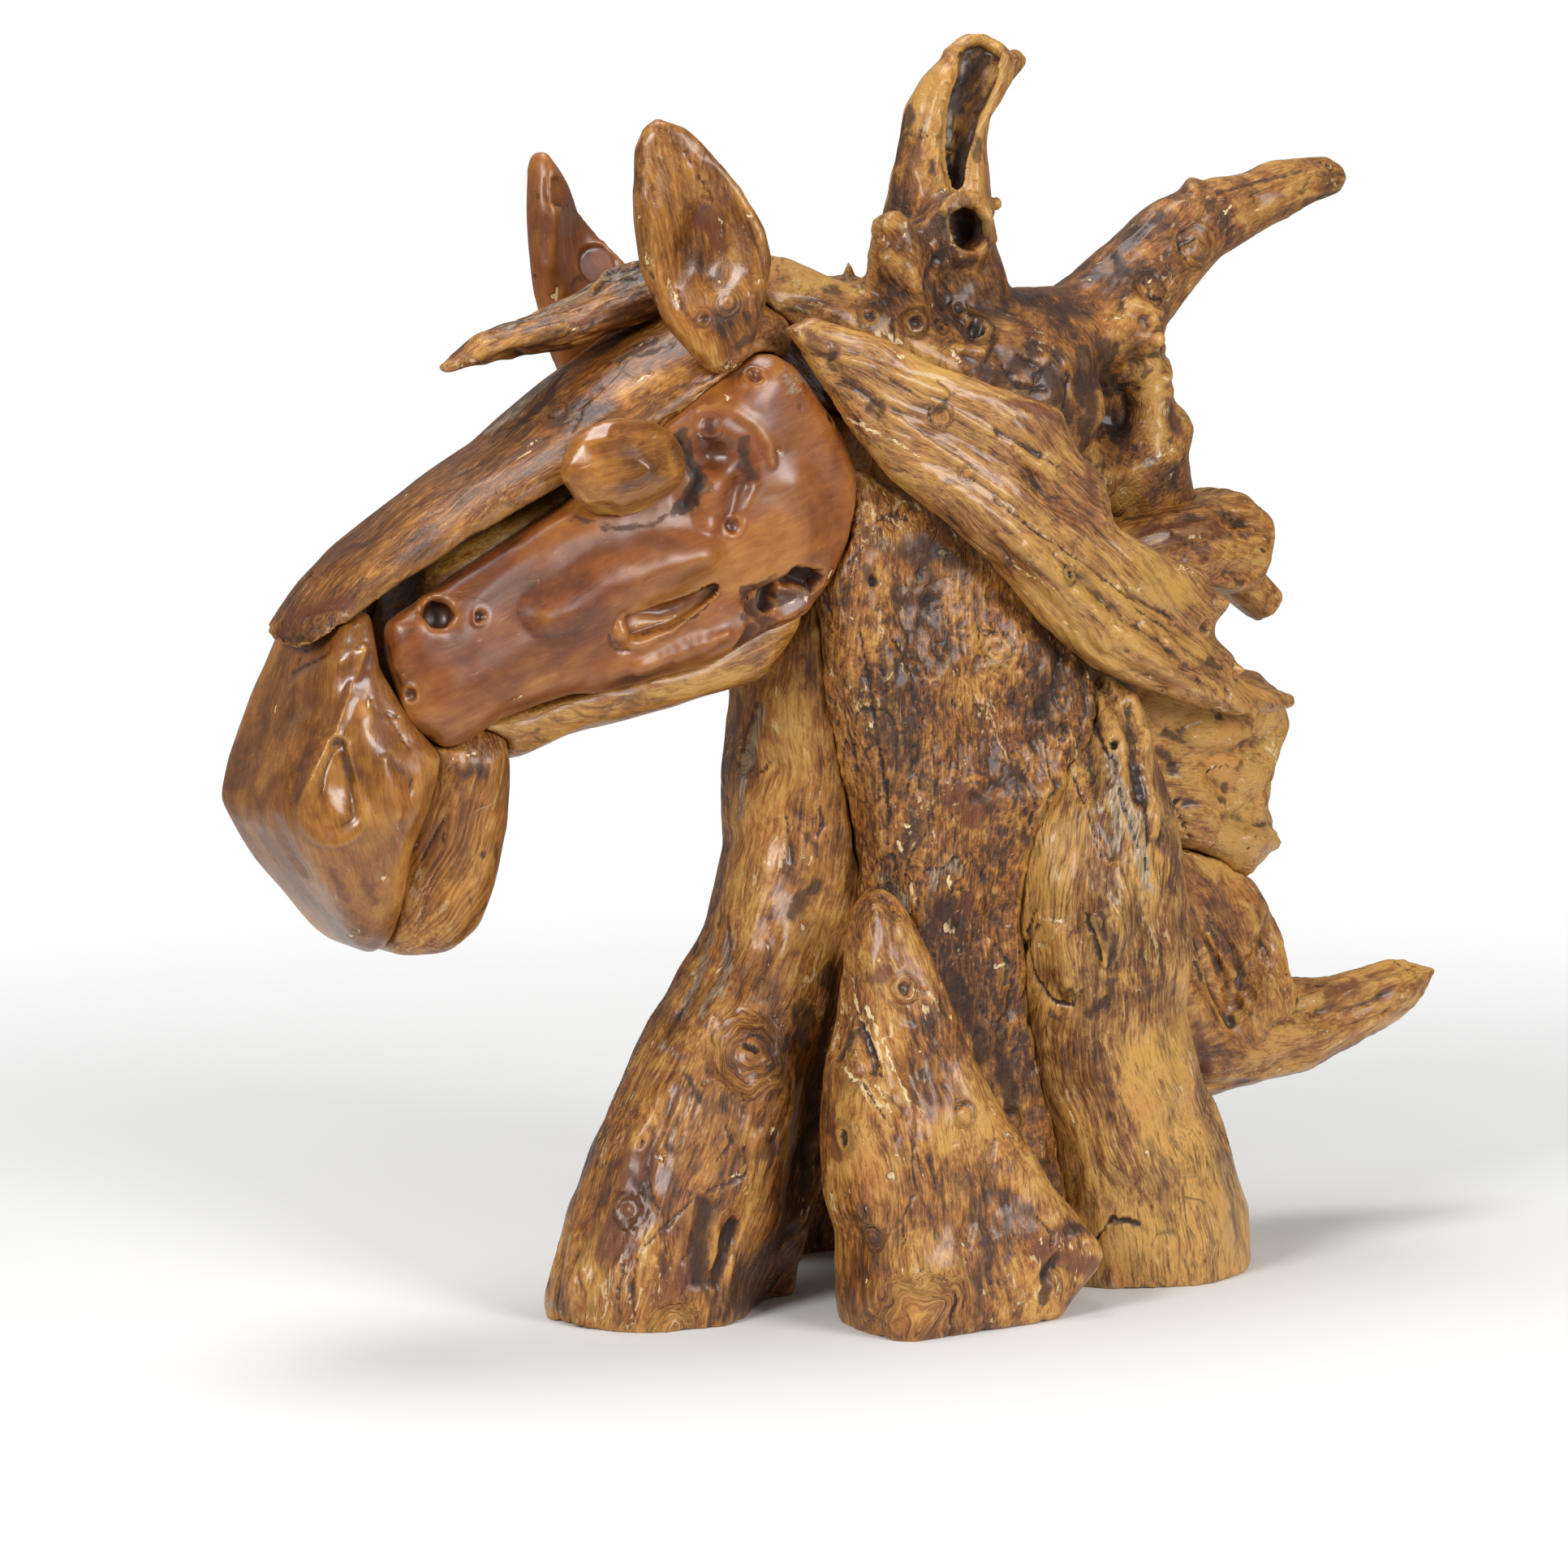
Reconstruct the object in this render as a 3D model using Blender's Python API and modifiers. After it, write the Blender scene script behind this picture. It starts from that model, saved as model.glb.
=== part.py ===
# A horse's head and neck put together from polished pieces of teak root.
# The horse faces -X, its left side is towards -Y, and it stands on z = 0.

import math

import bmesh
import bpy
import numpy as np
from mathutils import Matrix, Vector, noise

# Overall size in metres
LENGTH = 0.635
DEPTH = 0.254
HEIGHT = 0.5748

# The free forms below are written as millimetres of a work of this size
DRAWN_LENGTH = 635.0
DRAWN_DEPTH = 254.0
DRAWN_HEIGHT = 574.8

# Working sizes in metres
JOINT_GAP = 0.0004
VOXEL = 0.0042
GROUND_BLOCK = 1.0

# The knot hole below the hollow prong, and the two holes in the left cheek
KNOT_HOLE_RADIUS = 0.0115
KNOT_HOLE_DEPTH = 0.022
CHEEK_HOLE_RADIUS = 0.0085
CHEEK_HOLE_DEPTH = 0.009

TEAK = (0.42, 0.21, 0.08)
RED_TEAK = (0.38, 0.15, 0.06)
PALE_TEAK = (0.55, 0.33, 0.13)


def at(x, y, z):
    """A point drawn in millimetres, at the real size."""
    return Vector((x * LENGTH / DRAWN_LENGTH, y * DEPTH / DRAWN_DEPTH, z * HEIGHT / DRAWN_HEIGHT))


def across(y):
    return y * DEPTH / DRAWN_DEPTH


def clear_scene():
    for obj in list(bpy.data.objects):
        bpy.data.objects.remove(obj, do_unlink=True)


def new_collection(name):
    made = bpy.data.collections.new(name)
    bpy.context.scene.collection.children.link(made)
    return made


def make_material(name, colour, roughness):
    material = bpy.data.materials.new(name)
    material.use_nodes = True
    shader = material.node_tree.nodes["Principled BSDF"]
    shader.inputs["Base Color"].default_value = (*colour, 1.0)
    shader.inputs["Roughness"].default_value = roughness
    shader.inputs["Metallic"].default_value = 0.0
    return material


# Rows of numbers are joined by a smooth curve through all of them
def smooth_rows(rows, steps):
    rows = np.array(rows, float)
    padded = np.vstack([2 * rows[0] - rows[1], rows, 2 * rows[-1] - rows[-2]])
    found = []
    for i in range(len(rows) - 1):
        a, b, c, d = padded[i : i + 4]
        for k in range(steps):
            t = k / steps
            found.append(
                0.5 * (2 * b + (c - a) * t + (2 * a - 5 * b + 4 * c - d) * t**2 + (3 * b - a - 3 * c + d) * t**3)
            )
    found.append(rows[-1])
    return np.array(found)


def section_frame(points, i):
    """Tangent, the direction across, and the direction that counts as up, at one point of a path."""
    tangent = (points[min(i + 1, len(points) - 1)] - points[max(i - 1, 0)]).normalized()
    side = Vector((0, 1, 0)) if abs(tangent.y) < 0.9 else Vector((1, 0, 0))
    side = (side - side.dot(tangent) * tangent).normalized()
    return tangent, side, tangent.cross(side)


def limb(rows, sides=16, steps=4, blunt=0.45):
    """A root or branch through rows of (x, y, z, half width across, half height up, half height down, turn)."""
    rows = smooth_rows(rows, steps)
    points = [at(*row[:3]) for row in rows]
    bm = bmesh.new()
    rings = []

    def add_ring(i, size, push):
        tangent, side, up = section_frame(points, i)
        wide, high, low, turn = rows[i][3:7]
        turned = Matrix.Rotation(math.radians(turn), 3, tangent)
        ring = []
        for k in range(sides):
            angle = 2 * math.pi * k / sides
            rise = (high if math.sin(angle) > 0 else low) * math.sin(angle)
            offset = turned @ (side * across(wide) * math.cos(angle) + up * rise / 1000)
            ring.append(bm.verts.new(points[i] + offset * size + tangent * push))
        rings.append(ring)

    end = len(rows) - 1
    first, last = (blunt * min(rows[i][3], rows[i][4] + 0.1) / 1000 for i in (0, end))
    add_ring(0, 0.55, -first)
    for i in range(len(rows)):
        add_ring(i, 1.0, 0.0)
    add_ring(end, 0.55, last)
    for lower, upper in zip(rings, rings[1:]):
        for k in range(sides):
            n = (k + 1) % sides
            bm.faces.new((lower[k], lower[n], upper[n], upper[k]))
    bm.faces.new(rings[0][::-1])
    bm.faces.new(rings[-1])
    bmesh.ops.recalc_face_normals(bm, faces=bm.faces)
    return bm


def edge_distance(points, outline):
    """How far each point of the plane is from the outline's nearest side."""
    best = np.full(len(points), 1e9)
    for a, b in zip(outline, np.roll(outline, -1, axis=0)):
        along = b - a
        share = np.clip(((points - a) @ along) / max(along @ along, 1e-12), 0, 1)
        best = np.minimum(best, np.linalg.norm(points - (a + share[:, None] * along), axis=1))
    return best


def slab(outline, faces, along="x", edge=14.0, rim=0.3):
    """A slab upright in the XZ plane. faces has rows of (x or z, nearer y, farther y); the edges are rounded over."""
    outline = np.array([(at(x, 0, z).x, at(x, 0, z).z) for x, z in outline])
    faces = np.array(faces, float)
    unit = LENGTH / DRAWN_LENGTH if along == "x" else HEIGHT / DRAWN_HEIGHT
    deepest = across(np.abs(faces[:, 2] - faces[:, 1]).max() / 2)
    bm = bmesh.new()
    corners = [bm.verts.new((x, -deepest, z)) for x, z in outline]
    made = bmesh.ops.extrude_face_region(bm, geom=[bm.faces.new(corners)])
    moved = [item for item in made["geom"] if isinstance(item, bmesh.types.BMVert)]
    bmesh.ops.translate(bm, verts=moved, vec=(0, 2 * deepest, 0))
    bmesh.ops.recalc_face_normals(bm, faces=bm.faces)
    bm = remeshed(bm, VOXEL)
    co = np.array([v.co for v in bm.verts])
    place = co[:, 0] if along == "x" else co[:, 2]
    near = across(np.interp(place, faces[:, 0] * unit, faces[:, 1]))
    far = across(np.interp(place, faces[:, 0] * unit, faces[:, 2]))
    inward = np.clip(edge_distance(co[:, [0, 2]], outline) / (edge / 1000), 0, 1)
    rounded = rim + (1 - rim) * np.sqrt(1 - (1 - inward) ** 2)
    y = (near + far) / 2 + co[:, 1] / deepest * (far - near) / 2 * rounded
    for vert, new_y in zip(bm.verts, y):
        vert.co.y = new_y
    return bm


def ball(x, y, z, rx, ry, rz, turn=0.0):
    """An ellipsoid turned about Z by so many degrees."""
    bm = bmesh.new()
    bmesh.ops.create_uvsphere(bm, u_segments=20, v_segments=12, radius=1.0)
    size = at(rx, ry, rz)
    place = Matrix.Translation(at(x, y, z)) @ Matrix.Rotation(math.radians(turn), 4, "Z")
    bmesh.ops.transform(bm, matrix=place @ Matrix.Diagonal((*size, 1.0)), verts=bm.verts)
    return bm


def object_of(bm, name, collection):
    mesh = bpy.data.meshes.new(name)
    bm.to_mesh(mesh)
    bm.free()
    obj = bpy.data.objects.new(name, mesh)
    collection.objects.link(obj)
    return obj


def evaluated(obj):
    """The object's mesh with its modifiers applied, as a bmesh. The object is removed."""
    bpy.context.view_layer.update()
    graph = bpy.context.evaluated_depsgraph_get()
    bm = bmesh.new()
    bm.from_object(obj, graph)
    bpy.data.objects.remove(obj, do_unlink=True)
    return bm


def remeshed(bm, voxel, smooths=0):
    obj = object_of(bm, "workpiece", bpy.context.scene.collection)
    remesh = obj.modifiers.new("Remesh", "REMESH")
    remesh.mode = "VOXEL"
    remesh.voxel_size = voxel
    if smooths:
        smooth = obj.modifiers.new("Smooth", "SMOOTH")
        smooth.factor = 0.5
        smooth.iterations = smooths
    return evaluated(obj)


def reduced(bm, triangles):
    now = sum(len(face.verts) - 2 for face in bm.faces)
    obj = object_of(bm, "workpiece", bpy.context.scene.collection)
    decimate = obj.modifiers.new("Decimate", "DECIMATE")
    decimate.ratio = min(1.0, triangles / now)
    decimate.use_collapse_triangulate = True
    return evaluated(obj)


def joined(parts):
    whole = bmesh.new()
    for bm in parts:
        mesh = bpy.data.meshes.new("joined")
        bm.to_mesh(mesh)
        bm.free()
        whole.from_mesh(mesh)
        bpy.data.meshes.remove(mesh)
    return whole


def press(bm, x, y, z, rx, ry, rz, push, turn=0.0):
    """Pushes the surface inside an ellipsoid by push, a vector in millimetres, most at its middle."""
    middle = at(x, y, z)
    size = at(rx, ry, rz)
    back = Matrix.Rotation(math.radians(-turn), 3, "Y")
    step = at(*push)
    for vert in bm.verts:
        local = back @ (vert.co - middle)
        reach = sum((local[k] / size[k]) ** 2 for k in range(3))
        if reach < 1:
            vert.co += step * (1 - reach) ** 2


def roughen(bm, lump, rise, seed):
    """Low waves of rise millimetres, about lump millimetres apart, along the surface's normals."""
    bm.normal_update()
    shift = Vector((seed * 7.3, seed * 3.1, seed * 5.7))
    moves = [vert.normal * noise.noise(vert.co * 1000 / lump + shift) * rise / 1000 for vert in bm.verts]
    for vert, move in zip(bm.verts, moves):
        vert.co += move


def drilled(bm, start, end, radius):
    """Takes a round hole out of a shape, from start to end."""
    cutter = bmesh.new()
    axis = end - start
    bmesh.ops.create_cone(
        cutter, cap_ends=True, segments=16, radius1=radius, radius2=radius * 0.8, depth=axis.length
    )
    turn = axis.to_track_quat("Z", "Y").to_matrix().to_4x4()
    bmesh.ops.transform(cutter, matrix=Matrix.Translation((start + end) / 2) @ turn, verts=cutter.verts)
    return without(bm, cutter)


def without(bm, cutter):
    """The first shape less the second one."""
    obj = object_of(bm, "workpiece", bpy.context.scene.collection)
    tool = object_of(cutter, "tool", bpy.context.scene.collection)
    tool.hide_render = True
    cut = obj.modifiers.new("Cut", "BOOLEAN")
    cut.operation = "DIFFERENCE"
    cut.object = tool
    made = evaluated(obj)
    bpy.data.objects.remove(tool, do_unlink=True)
    return made


def largest_island(bm):
    """Drops the offcuts that a saw cut leaves beside the piece."""
    bm.verts.ensure_lookup_table()
    left = set(bm.verts)
    islands = []
    while left:
        stack = [left.pop()]
        island = set(stack)
        while stack:
            for edge in stack.pop().link_edges:
                for vert in edge.verts:
                    if vert in left:
                        left.discard(vert)
                        island.add(vert)
                        stack.append(vert)
        islands.append(island)
    islands.sort(key=len)
    bmesh.ops.delete(bm, geom=[v for island in islands[:-1] for v in island], context="VERTS")
    return bm


# The head

def cheek_forms(side):
    outline = [
        (-272, 325), (-262, 329), (-240, 343), (-208, 360), (-186, 371), (-144, 403), (-113, 423), (-91, 437),
        (-77, 431), (-62, 415), (-50, 398), (-44, 381), (-44, 366), (-48, 347), (-58, 329), (-70, 317),
        (-92, 311), (-119, 297), (-160, 291), (-190, 284), (-212, 278), (-246, 266), (-259, 280), (-271, 305),
    ]
    faces = [(-275, -44, -22), (-220, -48, -22), (-160, -52, -22), (-100, -62, -22), (-60, -58, -22)]
    return [slab(outline, [(x, near * side, far * side) for x, near, far in faces], edge=13)]


def cheek_left():
    bm = remeshed(joined(cheek_forms(1)), VOXEL, 2)
    press(bm, -122, -60, 392, 16, 22, 12, (0, 8, 0), turn=25)
    press(bm, -112, -62, 378, 8, 20, 20, (0, 6, 0), turn=25)
    press(bm, -128, -60, 376, 7, 20, 16, (0, -4, 0), turn=30)
    press(bm, -150, -58, 327, 30, 22, 7, (0, 7, 0), turn=-10)
    press(bm, -85, -62, 324, 26, 22, 10, (0, 8, 0), turn=-12)
    press(bm, -172, -52, 378, 38, 20, 14, (0, 4, 0))
    return bm


def cheek_hole(bm):
    start = at(-251, -60, 327)
    end = start + Vector((0, 0.016 + CHEEK_HOLE_DEPTH, 0))
    return drilled(bm, start, end, CHEEK_HOLE_RADIUS)


def cheek_right():
    bm = remeshed(joined(cheek_forms(-1)), VOXEL, 2)
    press(bm, -118, 60, 388, 22, 22, 14, (0, -7, 0), turn=25)
    press(bm, -120, 60, 322, 34, 22, 8, (0, -6, 0), turn=-10)
    return bm


def muzzle():
    outline = [
        (-279, 332), (-291, 324), (-295, 312), (-299, 300), (-306, 285), (-314, 261), (-318.5, 241),
        (-304, 215), (-288, 192), (-279, 180), (-266, 175), (-262, 182), (-262, 198), (-262, 226), (-251, 253),
        (-247, 266), (-262, 282), (-274, 305), (-274, 326),
    ]
    faces = [(175, -12, 16), (182, -24, 26), (192, -32, 32), (215, -46, 45), (241, -52, 51), (262, -51, 50),
             (286, -48, 47), (304, -44, 44), (332, -36, 36)]
    bm = remeshed(slab(outline, faces, along="z", edge=20, rim=0.75), VOXEL, 4)
    for side in (-1, 1):
        press(bm, -290, side * 50, 262, 20, 24, 34, (0, side * 3, 0), turn=10)
        press(bm, -298, side * 50, 257, 11, 24, 20, (4, side * -13, 0), turn=8)
        press(bm, -289, side * 46, 298, 6, 22, 26, (1, side * -3.5, 0), turn=10)
    return bm


def chin():
    outline = [
        (-262, 290), (-236, 280), (-208, 273), (-206, 258), (-208, 229), (-215, 202), (-223, 185),
        (-236, 175.5), (-258, 174), (-269, 182), (-272, 205), (-264, 244), (-268, 270),
    ]
    faces = [(-272, -28, 28), (-256, -33, 33), (-241, -39, 39), (-206, -38, 38)]
    return remeshed(slab(outline, faces, edge=20, rim=0.5), VOXEL, 2)


def jaw():
    outline = [
        (-255, 318), (-258, 290), (-240, 272), (-214, 262), (-209, 256), (-195, 260), (-181, 265), (-157, 270),
        (-131, 274), (-115, 278), (-97, 281), (-84, 284), (-74, 292), (-62, 306), (-55, 340), (-60, 380),
        (-75, 412), (-100, 424), (-142, 398), (-190, 373), (-216, 358), (-245, 343),
    ]
    faces = [(-258, -32, 32), (-200, -34, 34), (-120, -40, 40), (-55, -40, 40)]
    return remeshed(slab(outline, faces, edge=10), VOXEL, 1)


def brow():
    rows = [
        (-305, 0, 311, 20, 3, 2, 0), (-297, 0, 318, 31, 7, 3, 0), (-277, 0, 334, 37, 12, 4, 0),
        (-251, 0, 350, 41, 15, 5, 0), (-216, 0, 369, 44, 18, 5, 0), (-190, 0, 382, 46, 20, 6, 0),
        (-160, 0, 397, 48, 26, 8, 0), (-130, 0, 412, 50, 30, 10, 0), (-100, 0, 427, 50, 31, 14, 0),
        (-78, 0, 438, 44, 26, 16, 0), (-66, 0, 444, 32, 16, 12, 0),
    ]
    bm = remeshed(limb(rows, sides=24), VOXEL, 2)
    roughen(bm, 45, 2.0, 3)
    return bm


def ear(side, outline, place, turn, lean):
    """side is -1 on the left. The ear stands on its own centre line, turned about it by so many degrees."""
    half = 8.5
    bm = slab(outline, [(-60, -half, half), (60, -half, half)], edge=16, rim=0.45)
    bm = remeshed(bm, VOXEL * 0.8, 1)
    press(bm, 3, -half, 484, 25, 20, 44, (0, 11, 0), turn=12)
    press(bm, -26, -half, 492, 12, 20, 40, (0, -5, 0), turn=5)
    shift = Matrix.Translation(at(place, side * 47, 0))
    tip = Matrix.Shear("XY", 4, (0.0, side * lean))
    middle = Matrix.Translation(at(0, 0, 430))
    turned = Matrix.Rotation(math.radians(turn), 4, "Z")
    bmesh.ops.transform(bm, matrix=shift @ turned @ middle @ tip @ middle.inverted(), verts=bm.verts)
    return bm


def ear_left():
    outline = [
        (3, 426), (-16, 447), (-28, 472), (-31.5, 503), (-30, 528), (-23, 539), (-8, 534), (16, 509),
        (28.5, 490), (31, 476), (28, 453), (21, 434), (14, 426),
    ]
    return ear(-1, outline, -123, -25, 0.10)


def ear_right():
    outline = [
        (-24, 526), (-28, 516), (-29.5, 500), (-30, 484), (-27, 457), (-19, 430), (-8, 412), (18, 412),
        (28, 440), (27, 465), (13, 484), (-6, 505), (-18, 521),
    ]
    return ear(1, outline, -129, 8, 0.05)


def eye_left():
    bm = remeshed(ball(-166, -54, 388, 31, 16, 22), VOXEL * 0.8, 1)
    press(bm, -166, -72, 388, 16, 16, 12, (0, -3, 0))
    press(bm, -154, -66, 371, 30, 22, 8, (0, 4, 1), turn=-12)
    return bm


def eye_right():
    bm = remeshed(ball(-166, 47, 380, 27, 15, 18), VOXEL * 0.8, 1)
    press(bm, -166, 64, 380, 16, 16, 12, (0, 3, 0))
    return bm


def forelock():
    rows = [
        (-229, 0, 428, 2, 1.5, 1.5, 0), (-219, 0, 433, 7, 4, 3.5, 0), (-203, 0, 438, 12, 8, 6, 0),
        (-178, 0, 444, 16, 8, 8, 5), (-150, 0, 454, 18, 9, 11, 8), (-122, 0, 464, 19, 9, 14, 8),
        (-92, 0, 471, 18, 9, 18, 0), (-70, 0, 470, 12, 7, 14, 0),
    ]
    bm = remeshed(limb(rows, sides=14), VOXEL * 0.8, 1)
    roughen(bm, 22, 2.4, 5)
    return bm


# The mane

def mane_slab_left():
    outline = [
        (-89, 447), (-72, 451), (-42, 441), (-11, 426), (13, 418), (44, 407), (54, 388), (67, 377), (73, 353),
        (110, 336), (131, 330), (137, 318), (148, 315), (149, 311), (131, 302), (154, 286), (146, 278),
        (196, 265), (190, 259), (166, 258), (127, 268), (86, 280), (67, 288), (37, 312), (14, 338), (-17, 364),
        (-36, 378), (-52, 397), (-71, 425), (-80, 439),
    ]
    faces = [(-90, -62, -46), (-40, -76, -54), (20, -88, -62), (80, -88, -62), (140, -76, -56), (196, -62, -50)]
    bm = slab(outline, faces, edge=12, rim=0.4)
    bm = remeshed(bm, VOXEL * 0.9, 1)
    press(bm, 30, -88, 372, 90, 30, 7, (0, 5, 0), turn=33)
    press(bm, 20, -90, 350, 120, 30, 9, (0, -5, 0), turn=33)
    press(bm, 110, -85, 305, 60, 30, 7, (0, 5, 0), turn=28)
    return bm


def mane_slab_right():
    outline = [
        (-86, 445), (-60, 452), (-20, 432), (25, 412), (60, 384), (84, 352), (120, 330), (150, 300), (172, 276),
        (160, 266), (120, 276), (76, 290), (30, 322), (-12, 358), (-44, 384), (-70, 424),
    ]
    faces = [(-90, 46, 62), (-40, 54, 76), (20, 62, 88), (80, 62, 88), (140, 54, 76), (172, 50, 62)]
    bm = remeshed(slab(outline, faces, edge=12, rim=0.4), VOXEL, 1)
    press(bm, 30, 88, 360, 110, 30, 8, (0, -5, 0), turn=33)
    return bm


def crown_root():
    body = [
        (-84, 0, 455, 26, 14, 12, 0), (-58, 0, 455, 32, 20, 16, 0), (-30, 0, 442, 40, 22, 26, 0),
        (10, 0, 424, 46, 36, 42, 0), (50, 0, 410, 48, 50, 50, 0), (86, 0, 402, 44, 56, 56, 0),
        (112, 0, 394, 38, 56, 54, 0), (132, 0, 384, 28, 44, 40, 0),
    ]
    hollow_prong = [
        (35, 0, 400, 34, 34, 34, 0), (31, 0, 450, 31, 34, 34, 0), (30, 0, 480, 27, 30, 27, 0),
        (31, 0, 505, 23, 27, 25, 0), (33, 0, 525, 20, 22, 20, 0), (37, 0, 541, 18, 23, 19, 0),
        (47, 0, 555, 16, 18, 16, 0), (55, 0, 567, 14, 13, 13, 0),
    ]
    lip = [(50, 4, 543, 10, 8, 8, 0), (64, 6, 556, 9, 7, 7, 0), (78, 6, 564, 6, 5, 5, 0)]
    stub = [(-8, -26, 442, 17, 16, 16, 0), (-12, -30, 472, 13, 13, 13, 0), (-15, -32, 492, 10, 10, 9, 0)]
    web = [(0, -18, 446, 15, 16, 14, 0), (2, -20, 466, 14, 13, 12, 0), (4, -22, 482, 9, 9, 8, 0)]
    nub = [(-16, -6, 448, 9, 9, 9, 0), (-22, -6, 464, 5, 5, 5, 0)]
    right_prong = [
        (84, 0, 416, 36, 34, 36, 0), (116, 0, 436, 31, 28, 28, 0), (144, 0, 459, 25, 26, 20, 0),
        (172, 0, 478, 20, 25, 15, 0), (202, 0, 493, 16, 17, 12, 0), (232, 0, 503, 14, 13, 11, 0),
        (252, 0, 506, 12, 10, 10, 0),
    ]
    ring = ball(24, -24, 486, 19, 14, 18)
    spike = [(54, 0, 494, 6, 5, 5, 0), (66, 0, 498, 2, 2, 2, 0)]
    burl = ball(147, -6, 388, 19, 20, 14)
    foot = [(126, 0, 390, 30, 26, 34, 0), (142, 0, 362, 26, 28, 34, 0), (146, 0, 342, 20, 22, 28, 0)]
    parts = [limb(rows) for rows in (body, hollow_prong, lip, stub, web, nub, right_prong, spike, foot)]
    bm = remeshed(joined([*parts, ring, burl]), VOXEL, 3)
    roughen(bm, 30, 3.0, 7)
    press(bm, 116, -42, 402, 26, 36, 42, (0, 24, 0), turn=8)
    press(bm, 132, -34, 434, 26, 24, 9, (0, -8, 0), turn=-15)
    return bm


def crown_hollows(bm):
    hollow = [
        (29, -24, 500, 8, 7, 6, 0), (28, -22, 515, 12, 9, 8, 0), (32, -20, 535, 15, 12, 11, 0),
        (42, -17, 556, 15, 12, 11, 0), (52, -16, 585, 15, 12, 11, 0),
    ]
    bm = without(bm, limb(hollow, sides=10, steps=2, blunt=0.1))
    start = at(24, -54, 487)
    end = start + Vector((0, 0.014 + KNOT_HOLE_DEPTH, 0))
    return drilled(bm, start, end, KNOT_HOLE_RADIUS)


def mane_fan():
    outline = [
        (62, 326), (96, 346), (134, 354), (169, 358), (188, 361), (193, 353), (201, 350), (203, 344),
        (201, 323), (193, 312), (178, 310), (140, 318), (66, 308),
    ]
    faces = [(62, -40, 34), (150, -44, 26), (207, -34, 14)]
    branch = [(160, -4, 338, 18, 12, 12, 0), (186, -6, 322, 14, 11, 11, 0), (213, -8, 301, 12, 10, 10, 0)]
    bm = remeshed(joined([slab(outline, faces, edge=10), limb(branch, blunt=0.05)]), VOXEL, 1)
    press(bm, 180, -46, 345, 44, 24, 6, (0, 9, 0), turn=-4)
    press(bm, 175, -44, 322, 30, 24, 7, (0, 6, 0), turn=4)
    return bm


def mane_burl():
    outline = [
        (60, 290), (108, 288), (140, 284), (179, 273), (200, 272), (213, 266), (219, 258), (221, 246), (214, 235),
        (206, 221), (204, 212), (211, 200), (217, 189), (210, 183), (198, 178), (188, 170), (160, 186),
        (124, 198), (62, 214),
    ]
    faces = [(60, -52, 36), (150, -50, 36), (190, -38, 26), (221, -24, 12)]
    bm = remeshed(slab(outline, faces, edge=16), VOXEL, 2)
    roughen(bm, 26, 3.0, 9)
    press(bm, 180, -46, 205, 46, 30, 7, (0, 8, 0), turn=14)
    press(bm, 176, -46, 240, 46, 30, 8, (0, 5, 0), turn=-5)
    return bm


def rear_spur():
    fall = [
        (116, -8, 224, 24, 14, 14, 0), (140, -10, 206, 26, 17, 17, 0), (164, -10, 182, 28, 19, 24, 0),
        (186, -8, 152, 28, 22, 28, 0), (200, -6, 122, 26, 24, 30, 0), (196, -4, 92, 24, 26, 28, 0),
    ]
    tail = [
        (168, 0, 96, 26, 34, 34, 0), (200, -2, 96, 26, 28, 28, 0), (232, -4, 96, 22, 23, 24, 0),
        (262, -8, 102, 17, 19, 20, 0), (290, -10, 108, 12, 15, 16, 0), (306, -10, 114, 8, 8, 8, 0),
        (315, -10, 117, 3, 2, 2, 0),
    ]
    inner = [(56, 0, 204, 28, 28, 28, 0), (96, -2, 200, 30, 28, 26, 0), (130, -2, 150, 34, 34, 30, 0), (165, -2, 100, 28, 34, 30, 0)]
    bm = remeshed(joined([limb(rows) for rows in (fall, tail, inner)]), VOXEL, 2)
    roughen(bm, 28, 3.0, 11)
    press(bm, 190, -38, 130, 12, 24, 46, (0, 10, 0), turn=28)
    press(bm, 240, -30, 104, 60, 24, 7, (0, 7, 0), turn=-8)
    return bm


# The neck and the roots that it stands on

BELOW = -10


def neck_front():
    rows = [
        (-120, -12, BELOW, 46, 60, 60, 0), (-117, -12, 8, 46, 60, 60, 0), (-109, -10, 42, 46, 55, 60, 0),
        (-97, -8, 76, 46, 49, 58, 0), (-84, -4, 108, 45, 42, 54, 0), (-69, -2, 139, 44, 34, 52, 0),
        (-57, 0, 163, 43, 31, 48, 0), (-46, 0, 190, 43, 34, 46, 0), (-40, 0, 230, 43, 37, 44, 0),
        (-38, 0, 278, 43, 38, 44, 0), (-36, 0, 320, 42, 34, 44, 0), (-28, 0, 360, 38, 28, 44, 0),
        (-16, 0, 392, 32, 24, 40, 0),
    ]
    bm = remeshed(limb(rows, sides=24), VOXEL, 2)
    roughen(bm, 42, 4.0, 13)
    press(bm, -92, -56, 112, 16, 22, 16, (-2, -5, 0))
    press(bm, -60, -56, 90, 20, 30, 100, (0, 14, 0), turn=14)
    press(bm, -112, -60, 40, 10, 22, 22, (0, 6, 0), turn=15)
    press(bm, -74, -52, -8, 50, 40, 60, (0, 24, 0))
    return bm


def neck_left():
    outline = [
        (-46, 384), (-26, 376), (-2, 364), (20, 350), (48, 326), (72, 300), (86, 274), (88, 230), (82, 180),
        (72, 120), (64, 60), (58, BELOW), (-40, BELOW), (-44, 60), (-40, 120), (-37, 190), (-45, 230),
        (-56, 287), (-59, 329),
    ]
    faces = [(-10, -84, -26), (60, -76, -26), (130, -70, -26), (240, -74, -26), (330, -62, -26), (384, -54, -26)]
    bm = remeshed(slab(outline, faces, along="z", edge=20, rim=0.3), VOXEL, 2)
    roughen(bm, 34, 3.5, 17)
    return bm


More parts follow.
